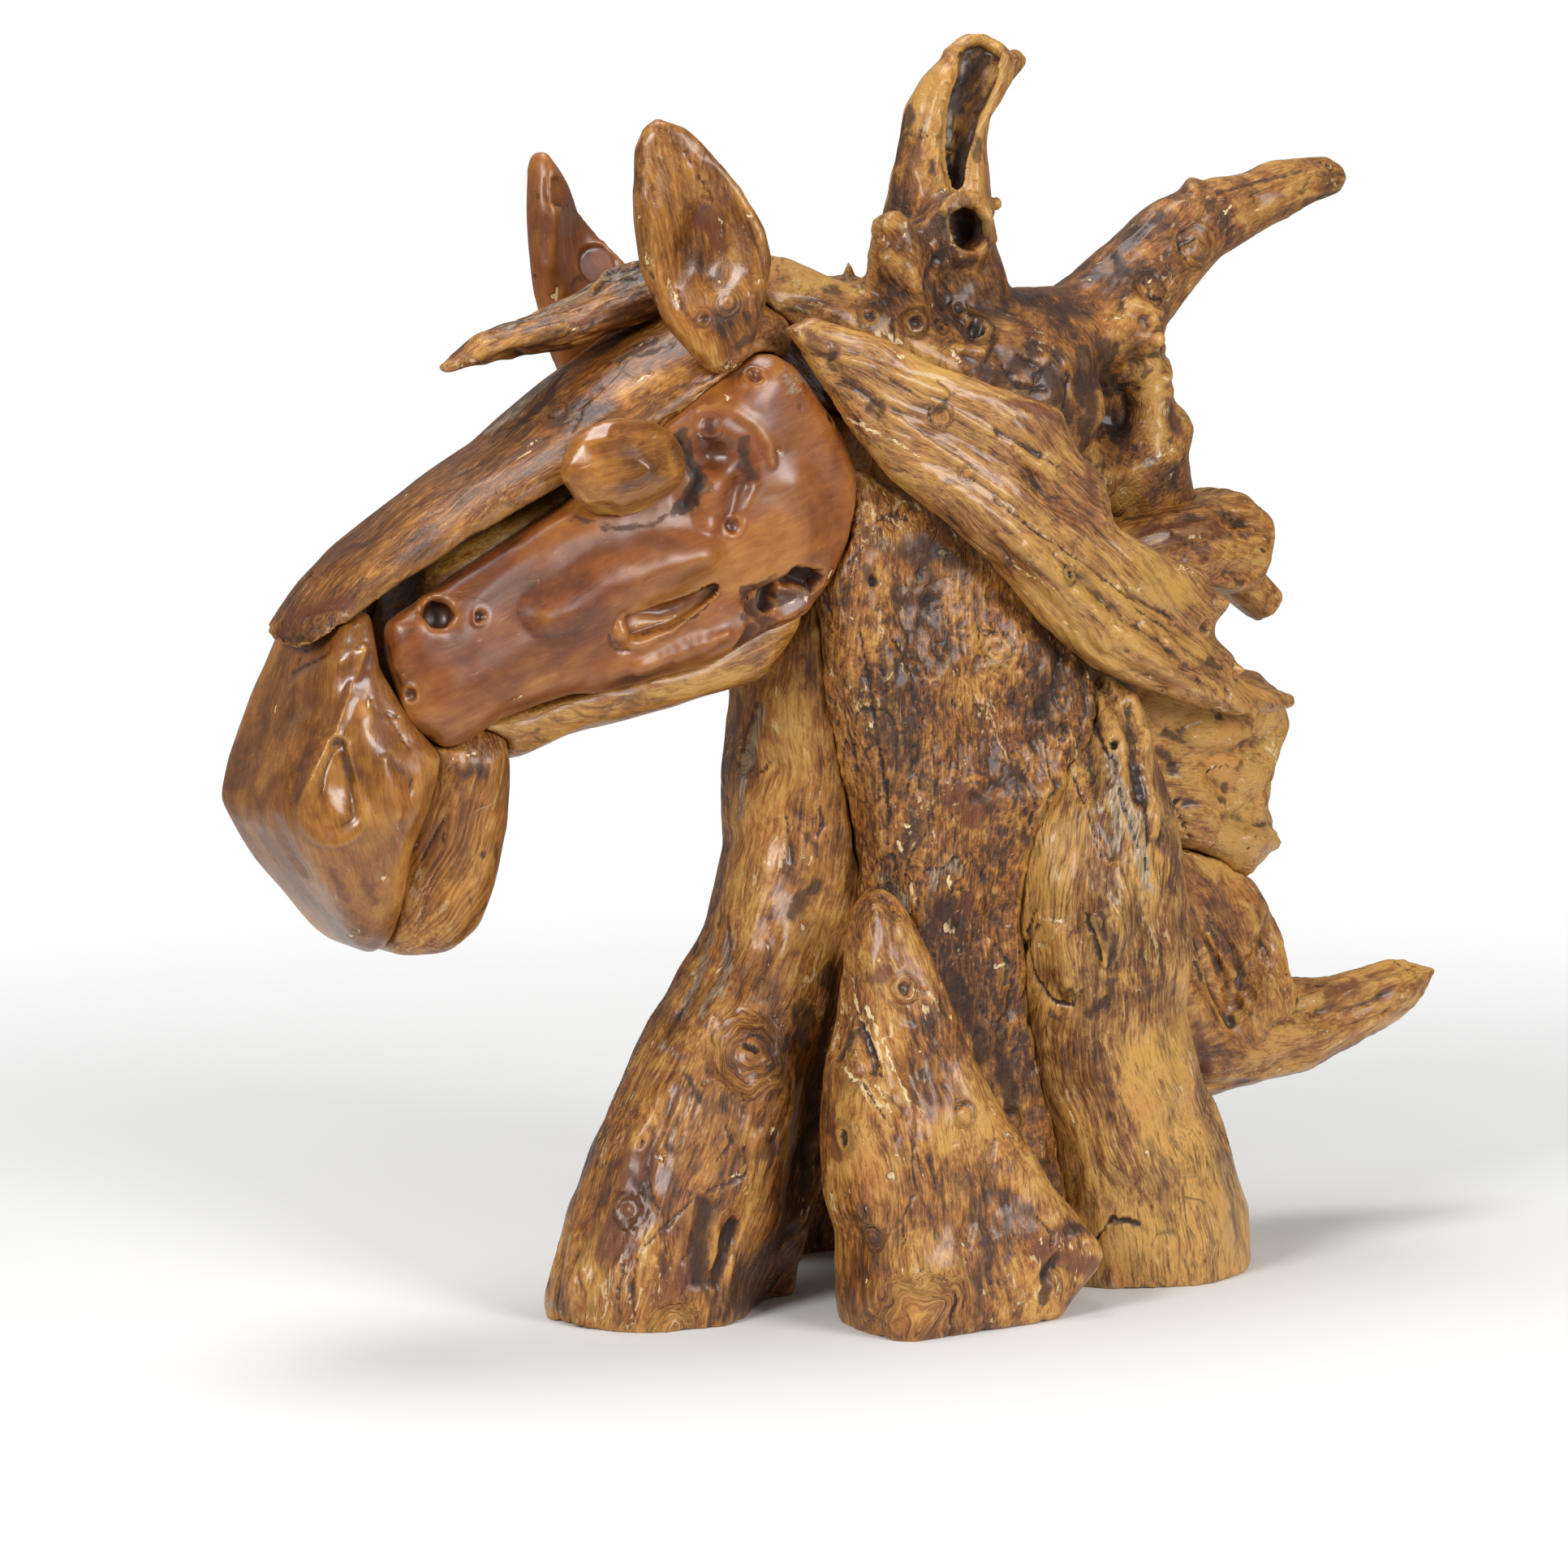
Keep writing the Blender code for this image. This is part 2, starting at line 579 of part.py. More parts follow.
def neck_right():
    rows = [
        (4, 88, BELOW, 41, 80, 84, 0), (6, 86, 12, 40, 78, 80, 0), (8, 74, 60, 36, 64, 70, 0),
        (10, 60, 120, 32, 60, 64, 0), (10, 50, 190, 27, 62, 68, 0), (10, 47, 260, 24, 64, 66, 0),
        (4, 45, 320, 22, 58, 56, 0), (-4, 43, 366, 18, 46, 40, 0),
    ]
    bm = remeshed(limb(rows, sides=24), VOXEL, 2)
    roughen(bm, 40, 5.0, 19)
    press(bm, -30, 120, 40, 16, 40, 90, (0, -12, 0), turn=10)
    press(bm, 50, 116, 40, 16, 40, 90, (0, -12, 0), turn=-12)
    return bm


def rear_root():
    rows = [
        (112, -58, BELOW, 42, 52, 52, 0), (111, -58, 14, 43, 53, 52, 0), (102, -60, 40, 41, 48, 52, 0),
        (90, -62, 80, 38, 44, 44, 0), (80, -64, 120, 37, 42, 42, 0), (75, -66, 160, 37, 42, 44, 0),
        (74, -66, 200, 36, 42, 44, 0), (82, -62, 235, 28, 28, 28, 0), (86, -58, 262, 20, 16, 16, 0),
        (88, -56, 278, 12, 9, 10, 0),
    ]
    spread = [(150, -40, BELOW, 28, 28, 22, 0), (148, -42, 24, 28, 26, 20, 0), (138, -46, 52, 24, 20, 18, 0)]
    bm = remeshed(joined([limb(rows, sides=22), limb(spread)]), VOXEL, 2)
    roughen(bm, 32, 3.5, 23)
    press(bm, 56, -104, 168, 13, 22, 32, (0, -7, 0), turn=8)
    press(bm, 78, -104, 178, 6, 22, 20, (0, 6, 0), turn=-14)
    return bm


def wedge_root():
    outline = [
        (-50, 199), (-60, 189), (-65, 165), (-67, 148), (-69, 131), (-76, 117), (-79, 98), (-79, 73),
        (-77, 55), (-72, 42), (-72, 15), (-68, BELOW), (20, BELOW), (32, 6), (51, 24), (40, 40), (20, 66),
        (-3, 106), (-20, 140), (-33, 176), (-40, 192),
    ]
    faces = [(-10, -127, -62), (30, -126.6, -62), (60, -121, -62), (120, -108, -60), (170, -98, -60), (199, -90, -60)]
    bm = remeshed(slab(outline, faces, along="z", edge=15, rim=0.35), VOXEL, 1)
    roughen(bm, 36, 2.0, 29)
    press(bm, -52, -112, 118, 10, 24, 26, (0, 5, 0), turn=-20)
    press(bm, 34, -124, 34, 16, 24, 14, (0, -1, 0))
    return bm


# Each piece is fitted to those before it in this list, which keep their whole shape
PIECES = [
    ("cheek_left", cheek_left, 480, RED_TEAK, cheek_hole),
    ("cheek_right", cheek_right, 260, RED_TEAK, None),
    ("muzzle", muzzle, 380, TEAK, None),
    ("brow", brow, 280, TEAK, None),
    ("chin", chin, 170, TEAK, None),
    ("jaw", jaw, 200, PALE_TEAK, None),
    ("ear_left", ear_left, 230, TEAK, None),
    ("ear_right", ear_right, 180, RED_TEAK, None),
    ("eye_left", eye_left, 120, PALE_TEAK, None),
    ("eye_right", eye_right, 110, PALE_TEAK, None),
    ("forelock", forelock, 130, TEAK, None),
    ("mane_slab_left", mane_slab_left, 420, TEAK, None),
    ("mane_slab_right", mane_slab_right, 220, TEAK, None),
    ("wedge_root", wedge_root, 300, PALE_TEAK, None),
    ("rear_root", rear_root, 330, PALE_TEAK, None),
    ("neck_left", neck_left, 270, TEAK, None),
    ("neck_right", neck_right, 260, TEAK, None),
    ("neck_front", neck_front, 320, TEAK, None),
    ("crown_root", crown_root, 900, TEAK, crown_hollows),
    ("mane_fan", mane_fan, 250, TEAK, None),
    ("mane_burl", mane_burl, 240, PALE_TEAK, None),
    ("rear_spur", rear_spur, 300, TEAK, None),
]


def boxes_meet(first, second):
    corners = []
    for bm in (first, second):
        co = np.array([v.co for v in bm.verts])
        corners.append((co.min(0), co.max(0)))
    (low_a, high_a), (low_b, high_b) = corners
    return bool((low_a <= high_b).all() and (low_b <= high_a).all())


def swollen(bm):
    """A copy of a shape that is larger all round by the gap at a joint."""
    copy = bm.copy()
    bmesh.ops.recalc_face_normals(copy, faces=copy.faces)
    copy.normal_update()
    moves = [vert.normal * JOINT_GAP for vert in copy.verts]
    for vert, move in zip(copy.verts, moves):
        vert.co += move
    return copy


def ground_block():
    bm = bmesh.new()
    bmesh.ops.create_cube(bm, size=GROUND_BLOCK)
    bmesh.ops.translate(bm, verts=bm.verts, vec=(0, 0, -GROUND_BLOCK / 2))
    return bm


def fit_to_size(collection):
    """Brings the whole work to its stated size, standing on z = 0 and centred over the origin."""
    corners = np.array([vert.co for obj in collection.objects for vert in obj.data.vertices])
    low, high = corners.min(0), corners.max(0)
    scale = np.array([LENGTH, DEPTH, HEIGHT]) / (high - low)
    shift = -np.array([(low[0] + high[0]) / 2, (low[1] + high[1]) / 2, low[2]])
    for obj in collection.objects:
        for vert in obj.data.vertices:
            vert.co = Vector((np.array(vert.co) + shift) * scale)


def main():
    clear_scene()
    sculpture = new_collection("teak_horse")
    materials = {}
    earlier = []
    for name, make, triangles, colour, finish in PIECES:
        whole = reduced(make(), triangles)
        if finish:
            whole = finish(whole)
        cutter = swollen(whole)
        piece = whole
        for other in earlier:
            if boxes_meet(piece, other):
                piece = without(piece, other.copy())
        if min(v.co.z for v in piece.verts) < 0:
            piece = without(piece, ground_block())
        piece = largest_island(piece)
        bmesh.ops.triangulate(piece, faces=piece.faces)
        bmesh.ops.dissolve_degenerate(piece, dist=0.00002, edges=piece.edges)
        earlier.append(cutter)
        if colour not in materials:
            materials[colour] = make_material(f"teak_{len(materials)}", colour, 0.35)
        obj = object_of(piece, name, sculpture)
        obj.data.materials.append(materials[colour])
    for cutter in earlier:
        cutter.free()
    fit_to_size(sculpture)


main()
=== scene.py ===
import bmesh
import bpy
import numpy as np
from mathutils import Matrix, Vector


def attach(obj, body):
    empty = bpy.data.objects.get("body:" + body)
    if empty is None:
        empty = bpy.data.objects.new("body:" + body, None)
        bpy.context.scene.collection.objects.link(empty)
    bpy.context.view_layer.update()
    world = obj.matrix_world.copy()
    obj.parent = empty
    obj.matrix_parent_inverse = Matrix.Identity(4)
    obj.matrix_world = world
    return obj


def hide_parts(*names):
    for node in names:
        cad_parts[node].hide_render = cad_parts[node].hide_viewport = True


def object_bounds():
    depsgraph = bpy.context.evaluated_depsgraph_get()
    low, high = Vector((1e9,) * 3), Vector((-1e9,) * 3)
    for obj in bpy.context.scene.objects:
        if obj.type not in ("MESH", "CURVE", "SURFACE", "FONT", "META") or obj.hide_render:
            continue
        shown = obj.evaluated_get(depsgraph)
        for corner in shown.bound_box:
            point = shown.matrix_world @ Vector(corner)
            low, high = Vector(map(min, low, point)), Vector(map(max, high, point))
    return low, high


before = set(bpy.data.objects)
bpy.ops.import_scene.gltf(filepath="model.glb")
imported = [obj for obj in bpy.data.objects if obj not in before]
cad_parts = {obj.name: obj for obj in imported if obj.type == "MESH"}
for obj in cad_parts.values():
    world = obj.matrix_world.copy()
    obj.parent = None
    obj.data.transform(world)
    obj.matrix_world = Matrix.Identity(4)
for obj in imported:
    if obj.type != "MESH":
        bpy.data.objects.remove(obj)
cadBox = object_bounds()
print("frame loaded:", len(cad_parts), "nodes")

mm = 0.001
boxLow = np.array(cadBox[0]) / mm
boxHigh = np.array(cadBox[1]) / mm


# Carving: every piece is worked in numpy, in millimetres of the row frame

def waves(points, seed=0):
    # smooth random hills and hollows from -1 to 1, one cell a unit wide
    cell = np.floor(points).astype(np.int64)
    inside = [points[:, k] - cell[:, k] for k in range(3)]
    ease = [t ** 3 * (t * (t * 6 - 15) + 10) for t in inside]
    total = np.zeros(len(points))
    for corner in np.ndindex(2, 2, 2):
        x, y, z = (cell[:, k] + corner[k] for k in range(3))
        # the slope at each corner of a cell comes from the bits of one well mixed number
        mix = (x * 73856093) ^ (y * 19349663) ^ (z * 83492791) ^ (seed * 40503 + 977)
        mix = ((mix ^ (mix >> 13)) * 1274126177) & 0x7FFFFFFF
        mix ^= mix >> 15
        slope = 0.0
        share = 1.0
        for k in range(3):
            slope = slope + (inside[k] - corner[k]) * (((mix >> 10 * k) & 1023) / 511.5 - 1)
            share = share * (ease[k] if corner[k] else 1 - ease[k])
        total += share * slope
    return total * 1.5


def step(value, low, high):
    share = np.clip((value - low) / (high - low), 0, 1)
    return share * share * (3 - 2 * share)


def eased(co, edges, rounds):
    # takes the facets out without shrinking the form
    count = np.bincount(edges.ravel(), minlength=len(co))[:, None]
    for pull in (0.5, -0.52) * rounds:
        around = [
            np.bincount(edges[:, 0], co[edges[:, 1], k], len(co))
            + np.bincount(edges[:, 1], co[edges[:, 0], k], len(co))
            for k in range(3)
        ]
        co = co + pull * (np.stack(around, 1) / count - co)
    return co


def averaged(value, edges, rounds):
    count = np.maximum(np.bincount(edges.ravel(), minlength=len(value)), 1)
    for turn in range(rounds):
        around = np.bincount(edges[:, 0], value[edges[:, 1]], len(value))
        around += np.bincount(edges[:, 1], value[edges[:, 0]], len(value))
        value = 0.5 * value + 0.5 * around / count
    return value


def read(mesh, kind, name, width, number=np.float32):
    rows = getattr(mesh, kind)
    flat = np.zeros(len(rows) * width, number)
    rows.foreach_get(name, flat)
    return flat.reshape(-1, width) if width > 1 else flat


def put(mesh, co):
    mesh.vertices.foreach_set("co", (co * mm).astype(np.float32).ravel())
    mesh.update()


def added(name, data):
    made = bpy.data.objects.new(name, data)
    bpy.context.scene.collection.objects.link(made)
    return made


def modified(piece, kind, **settings):
    # applies one modifier and gives the piece its new mesh
    modifier = piece.modifiers.new(kind.lower(), kind)
    for name, value in settings.items():
        setattr(modifier, name, value)
    bpy.context.view_layer.update()
    made = bpy.data.meshes.new_from_object(piece.evaluated_get(bpy.context.evaluated_depsgraph_get()))
    piece.modifiers.clear()
    old = piece.data
    piece.data = made
    bpy.data.meshes.remove(old)
    return made


def roughedOut(node, voxel, rounds):
    # an even, smooth skin over a CAD node, twice as fine as the voxels
    bm = bmesh.new()
    bm.from_mesh(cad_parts[node].data)
    bmesh.ops.remove_doubles(bm, verts=bm.verts, dist=0.00001)
    mesh = bpy.data.meshes.new(node + "_wood")
    bm.to_mesh(mesh)
    bm.free()
    piece = added(node + "_wood", mesh)
    mesh = modified(piece, "REMESH", mode="VOXEL", voxel_size=voxel * mm)
    edges = read(mesh, "edges", "vertices", 2, np.int32)
    put(mesh, eased(read(mesh, "vertices", "co", 3) / mm, edges, rounds))
    modified(piece, "SUBSURF", levels=1, render_levels=1)
    return piece


def levelled(co, edges, rounds):
    return np.stack([averaged(co[:, k], edges, rounds) for k in range(3)], 1)


def grainAt(co, guides):
    # across, up and along the nearest guide lines, so that the fibres follow the root
    total = np.zeros((len(co), 3))
    heading = np.zeros((len(co), 3))
    weight = np.zeros(len(co))
    for number, guide in enumerate(guides):
        guide = np.array([place.split() for place in guide.split(",")], float)
        travelled = number * 137.0
        for start, end in zip(guide[:-1], guide[1:]):
            length = np.linalg.norm(end - start)
            along = (end - start) / length
            side = np.cross(along, (0.05, 1.0, 0.02))
            side /= np.linalg.norm(side)
            up = np.cross(side, along)
            away = co - start
            travel = away @ along
            gap = np.linalg.norm(away - np.clip(travel, 0, length)[:, None] * along, axis=1)
            near = 1 / (gap ** 2 + 30) ** 2
            total += near[:, None] * np.stack([away @ side, away @ up, travelled + travel], 1)
            heading += near[:, None] * along
            weight += near
            travelled += length
    return total / weight[:, None], heading / weight[:, None]


def distanceTo(co, path):
    # how far each point is from a bent line, and how far along the line its nearest place is
    if len(path) == 1:
        return np.linalg.norm(co - path[0], axis=1), np.zeros(len(co))
    best = np.full(len(co), 1e9)
    along = np.zeros(len(co))
    for number, (start, end) in enumerate(zip(path[:-1], path[1:])):
        line = end - start
        share = np.clip(((co - start) @ line) / max(line @ line, 0.01), 0, 1)
        gap = np.linalg.norm(co - start - share[:, None] * line, axis=1)
        closer = gap < best
        best = np.where(closer, gap, best)
        along = np.where(closer, (number + share) / (len(path) - 1), along)
    return best, along


# What a mark does: which way it moves the skin, how ragged it is, and its stains and painted shade: dark, pale,
# grey, red, tone. A bore's dark is painted shade inside its hole; grey marks also paint a silvery sheen
markKinds = {
    "dip": (-1, 0.15, (0, 0, 0, 0, 0)), "fold": (1, 0.15, (0, 0, 0, 0, 0)),
    "crest": (1, 0.1, (0, 0, 0, 0, 0.05)), "scoop": (-1, 0.05, (0, 0, 0, 0, 0)),
    "dark": (0, 0.5, (1, 0, 0, 0, 0)), "pale": (0, 0.6, (0, 1, 0, 0, 0)),
    "grey": (0, 0.5, (0, 0, 1, 0, 0)), "red": (0, 0.4, (0, 0, 0, 1, 0)),
    "light": (0, 0.4, (0, 0, 0, 0, 0.75)), "shade": (0, 0.4, (0, 0, 0, 0, -1)),
    "crack": (-1, 0.5, (0.75, 0, 0, 0, 0)), "burn": (-1, 0.12, (1.2, 0, 0, 0, 0)),
    "bore": (-1, 0.4, (1.35, 0, 0, 0, 0)), "chip": (-1, 0.8, (0, 1.0, 0, 0, 0)),
    "knot": (1, 0.3, (0.3, 0, 0, 0, -0.1)), "socket": (-1, 0.25, (0.4, 0, 0, 0, -0.1)),
    "rings": (0, 0.7, (0, 0, 0, 0, 0)),
}
ringed = ("knot", "socket", "rings")    # fibres run round these
tapered = ("crack", "crest", "chip", "fold")    # narrow at both ends of their line
finest = 1.5    # no mark is narrower than the skin can show
widest = 14.0    # beyond this size the outline of a mark gets no more ragged


def marked(co, grain, marks, seed):
    rise = np.zeros(len(co))
    stain = np.zeros((len(co), 5))
    grain = grain.copy()
    for number, (kind, size, strength, *path) in enumerate(marks):
        lift, ragged, colours = markKinds[kind]
        size = max(size, finest)
        path = np.array(path, float)
        reach = size * 2.6 + 1
        near = np.flatnonzero(((co > path.min(0) - reach) & (co < path.max(0) + reach)).all(1))
        if not len(near):
            continue
        spot = co[near]
        for coarse, much in ((1.3, 0.6), (0.45, 0.3)):    # a ragged outline, not a drawn one
            cell = max(size * coarse, 2.5)
            drift = [waves(spot / cell, seed + number * 7 + k) for k in range(3)]
            spot = spot + np.stack(drift, 1) * (ragged * much * min(size, widest) * 1.6)
        gap, along = distanceTo(spot, path)
        width = size
        if kind == "scoop":
            width = size * (0.3 + 0.7 * along)
        elif len(path) > 1 and kind in tapered:
            width = size * (0.45 + 0.55 * np.sin(np.pi * (0.12 + 0.76 * along)))
        share = np.clip(1 - gap / width, 0, 1)
        soft = share * share * (3 - 2 * share)
        profile, tint = soft, soft
        if kind == "crack":
            profile, tint = share ** 0.8, step(share, 0.25, 0.8)
        # a bore's dark tint is painted shade in its hole, strongest at the middle
        elif kind == "bore":
            profile, tint = step(share, 0.0, 0.6), step(share, 0.1, 0.5)
        elif kind == "chip":
            profile, tint = step(share, 0.0, 0.35), step(share, 0.0, 0.5)
        elif kind == "crest":
            profile, tint = share ** 1.3, soft
        elif kind == "scoop":
            profile = step(share, 0.0, 0.42) - 0.28 * np.exp(-((gap / width - 1.12) / 0.13) ** 2)
        elif kind == "knot":
            profile, tint = soft * (0.75 + 0.15 * np.cos(gap / size * 15)), step(share, 0.7, 0.95)
        elif kind == "socket":
            rim = np.exp(-(((gap / size) - 1) / 0.3) ** 2)
            profile, tint = step(share, 0.0, 0.6) - 0.35 * rim, step(share, 0.1, 0.7)
        if kind in ringed:
            turned = np.stack([gap * 1.3, gap * 0.3, grain[near, 2]], 1)
            hold = step(1 - gap / (size * (1.0 if kind == "rings" else 1.9)), 0.0, 0.5)[:, None]
            grain[near] = grain[near] * (1 - hold) + turned * hold
        rise[near] += lift * strength * profile
        amount = (1.0 if lift else strength) * tint[:, None] * np.array(colours, float)
        stain[near, :4] = np.maximum(stain[near, :4], amount[:, :4])
        stain[near, 4] += amount[:, 4]
    return rise, stain, grain


def faceted(co, normal, facets):
    # places cut flat by the knife, each so wide and so deep below the skin
    touch = 4.0    # how much skin round the place says which way it faces
    for size, depth, place in facets:
        nearest = ((co - np.array(place)) ** 2).sum(1).argmin()
        facing = normal[((co - co[nearest]) ** 2).sum(1) < touch ** 2].mean(0)
        facing /= np.linalg.norm(facing)
        over = np.maximum((co - co[nearest]) @ facing + depth, 0)
        over *= step(size * 1.25 - np.linalg.norm(co - co[nearest], axis=1), 0.0, size * 0.35)
        co = co - over[:, None] * facing
    return co


def faired(co, edges, places):
    # the rough form rubbed level at these places
    for size, rounds, *path in places:
        soft = step(1 - distanceTo(co, np.array(path, float))[0] / size, 0.0, 0.6)[:, None]
        co = co + (levelled(co, edges, int(rounds)) - co) * soft
    return co


def rowsIn(table):
    # a row: kind, size and strength, then its line, whose places after the first are steps from the one before
    rows = []
    for row in table.split(","):
        kind, *numbers = row.split()
        size, strength, *places = map(float, numbers)
        path = np.array(places).reshape(-1, 3).cumsum(0)
        rows.append((kind, size, strength, *(tuple(place) for place in path)))
    return rows


def settled(co, marks):
    # the marks moved onto the skin as it now is
    return [(kind, size, strength, *(co[((co - place) ** 2).sum(1).argmin()] for place in path))
            for kind, size, strength, *path in marks]


def strewn(co, heading, normal, kinds, seed):
    # small weather marks at random places, drawn out along the fibres
    dice = np.random.default_rng(seed)
    marks = []
    for kind, count, small, large, stretch, strength in kinds:
        for place in dice.integers(0, len(co), count):
            size = small + (large - small) * dice.random() ** 2
            run = heading[place] + 0.25 * dice.normal(size=3)
            run -= normal[place] * (run @ normal[place])
            run *= size * stretch * (0.4 + dice.random()) / max(np.linalg.norm(run), 0.1)
            side = np.cross(run, normal[place]) * 0.2 * dice.normal()
            path = (co[place], co[place] + run * 0.5 + side, co[place] + run) if stretch else (co[place],)
            marks.append((kind, size, strength * (0.6 + 0.8 * dice.random()), *path))
    return marks


def carved(node, look):
    # one finished piece: even skin, forms, weathering, marks, and what its material reads
    piece = roughedOut(node, look["voxel"], look["rounds"])
    mesh = piece.data
    edges = read(mesh, "edges", "vertices", 2, np.int32)
    co = read(mesh, "vertices", "co", 3).astype(float) / mm
    normal = read(mesh, "vertices", "normal", 3).astype(float)
    seed = look["seed"]    # every field of waves and every mark has a seed of its own, counted from here
    if look["forms"]:
        co = faired(co, edges, [row[1:] for row in look["forms"] if row[0] == "fair"])
        forms = settled(co, [row for row in look["forms"] if row[0] not in ("facet", "fair")])
        co = co + normal * marked(co, co, forms, seed)[0][:, None]
        co = faceted(co, normal, [row[1:] for row in look["forms"] if row[0] == "facet"])
        put(mesh, co)
        normal = read(mesh, "vertices", "normal", 3).astype(float)
    grain, heading = grainAt(co, look["guides"])
    marks = settled(co, look["marks"]) + strewn(co, heading, normal, look.get("strewn", []), seed)
    rise, stain, grain = marked(co, grain, marks, seed + 50)
    bent = grain + 6 * np.stack([waves(co / 35, seed + k) for k in (3, 4, 5)], 1)
    worn = 0.35 + 0.65 * step(waves(co / 48, seed + 21), -0.35, 0.45)    # rough here, rubbed smooth there
    for size, height in look.get("lumps", []):
        rise += height * waves(co / size, seed + 1 + int(size))
    for across, along, height in look.get("fibres", []):
        line = waves(bent / (across, across, along), seed + 7 + int(across * 3))
        rise += height * worn * (1 - 2.4 * np.abs(line))
    for across, along, depth in look.get("grooves", []):
        line = np.abs(waves(bent / (across, across, along), seed + 31 + int(across * 3)))
        gaping = step(waves(bent / (across * 1.5, across * 1.5, along * 0.8), seed + 41), 0.0, 0.35)
        rise -= depth * gaping * worn * np.clip(1 - line * across / 2.6, 0, 1)
    for size, height in look.get("flakes", []):
        field = waves(grain / (size, size, size * 2.2), seed + 11) * 3 + waves(co / (size * 0.4), seed + 12) * 0.5
        edge = field - np.floor(field)
        rise += height * worn * (step(edge, 0.0, 0.18) - 0.5 - 0.4 * edge)
    for size, height, share in look.get("pits", []):
        field = waves(grain / (size, size, size * 1.8), seed + 15 + int(size))
        rise -= height * step(field, share, share + 0.25)
    co = co + normal * rise[:, None]
    co = np.clip(co, boxLow, boxHigh)
    put(mesh, co)
    normal = read(mesh, "vertices", "normal", 3).astype(float)
    relief = np.zeros(len(co))
    for rounds, gain in ((4, 1.4), (24, 0.8)):    # how far the skin stands out of its near and wide surroundings
        relief += gain * ((co - levelled(co, edges, rounds)) * normal).sum(1)
    for name, kind, field, value in (
        ("grain", "FLOAT_VECTOR", "vector", grain * mm),
        ("stain", "FLOAT_COLOR", "color", np.clip(stain[:, :4], 0, 3)),
        ("tone", "FLOAT", "value", np.clip(stain[:, 4], -1, 1)),
        ("relief", "FLOAT", "value", np.clip(relief, -3, 3)),
    ):
        mesh.attributes.new(name, kind, "POINT").data.foreach_set(field, value.astype(np.float32).ravel())
    mesh.polygons.foreach_set("use_smooth", np.ones(len(mesh.polygons), bool))
    mesh.materials.clear()
    mesh.materials.append(varnishedTeak(node, look["wood"]))
    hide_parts(node)
    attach(piece, "root")
    print("carved", node, len(mesh.polygons) * 2, "triangles", len(marks), "marks")


# Finishes: shader nodes written as sums on sockets

class Wire:
    def __init__(self, sheet, socket):
        self.sheet = sheet
        self.socket = socket

    def maths(self, operation, other, swap=False):
        pair = (other, self) if swap else (self, other)
        return self.sheet.node("ShaderNodeMath", {"operation": operation}, dict(enumerate(pair)))

    def __add__(self, other):
        return self.maths("ADD", other)

    def __radd__(self, other):
        return self.maths("ADD", other, True)

    def __sub__(self, other):
        return self.maths("SUBTRACT", other)

    def __rsub__(self, other):
        return self.maths("SUBTRACT", other, True)

    def __mul__(self, other):
        return self.maths("MULTIPLY", other)

    def __rmul__(self, other):
        return self.maths("MULTIPLY", other, True)


class Finish:
    def __init__(self, name):
        self.material = bpy.data.materials.new(name)
        self.material.use_nodes = True
        self.tree = self.material.node_tree
        self.tree.nodes.clear()

    def node(self, kind, settings, inputs, out=0):
        made = self.tree.nodes.new(kind)
        for name, value in settings.items():
            if name == "stops":
                ramp = made.color_ramp
                while len(ramp.elements) < len(value):
                    ramp.elements.new(1.0)
                for element, (place, colour) in zip(ramp.elements, value):
                    element.position = place
                    element.color = (*colour, 1.0)
            else:
                setattr(made, name, value)
        for name, value in inputs.items():
            if isinstance(value, Wire):
                self.tree.links.new(value.socket, made.inputs[name])
            else:
                made.inputs[name].default_value = value
        return Wire(self, made.outputs[out])

    def attribute(self, name, out):
        return self.node("ShaderNodeAttribute", {"attribute_name": name}, {}, out)

    def scaled(self, vector, size):
        return self.node("ShaderNodeVectorMath", {"operation": "MULTIPLY"}, {0: vector, 1: size})

    def shifted(self, vector, push, amount):
        centred = self.node("ShaderNodeVectorMath", {"operation": "SUBTRACT"}, {0: push, 1: (0.5, 0.5, 0.5)})
        spread = self.node("ShaderNodeVectorMath", {"operation": "SCALE"}, {0: centred, "Scale": amount})
        return self.node("ShaderNodeVectorMath", {"operation": "ADD"}, {0: vector, 1: spread})

    def noise(self, vector, scale=1.0, detail=2.0, roughness=0.5, distortion=0.0, out=0):
        return self.node("ShaderNodeTexNoise", {}, {
            "Vector": vector, "Scale": scale, "Detail": detail, "Roughness": roughness, "Distortion": distortion,
        }, out)

    def fibres(self, vector, across, along, detail, roughness, distortion=0.0):
        # noise drawn out along the fibres, so many cells to the metre across them and along them
        return self.noise(self.scaled(vector, (across, across, along)), 1.0, detail, roughness, distortion)

    def between(self, value, low, high):
        return self.node("ShaderNodeMapRange", {"interpolation_type": "SMOOTHSTEP"}, {
            "Value": value, "From Min": low, "From Max": high,
        })

    def mixed(self, share, first, last, blend="MIX"):
        first, last = [(*c, 1.0) if isinstance(c, tuple) and len(c) == 3 else c for c in (first, last)]
        settings = {"data_type": "RGBA", "blend_type": blend}
        return self.node("ShaderNodeMix", settings, {0: share, 6: first, 7: last}, 2)

    def ramp(self, value, stops):
        return self.node("ShaderNodeValToRGB", {"stops": stops}, {0: value})

    def surface(self, shader):
        self.tree.links.new(shader.socket, self.tree.nodes.new("ShaderNodeOutputMaterial").inputs[0])
        return self.material


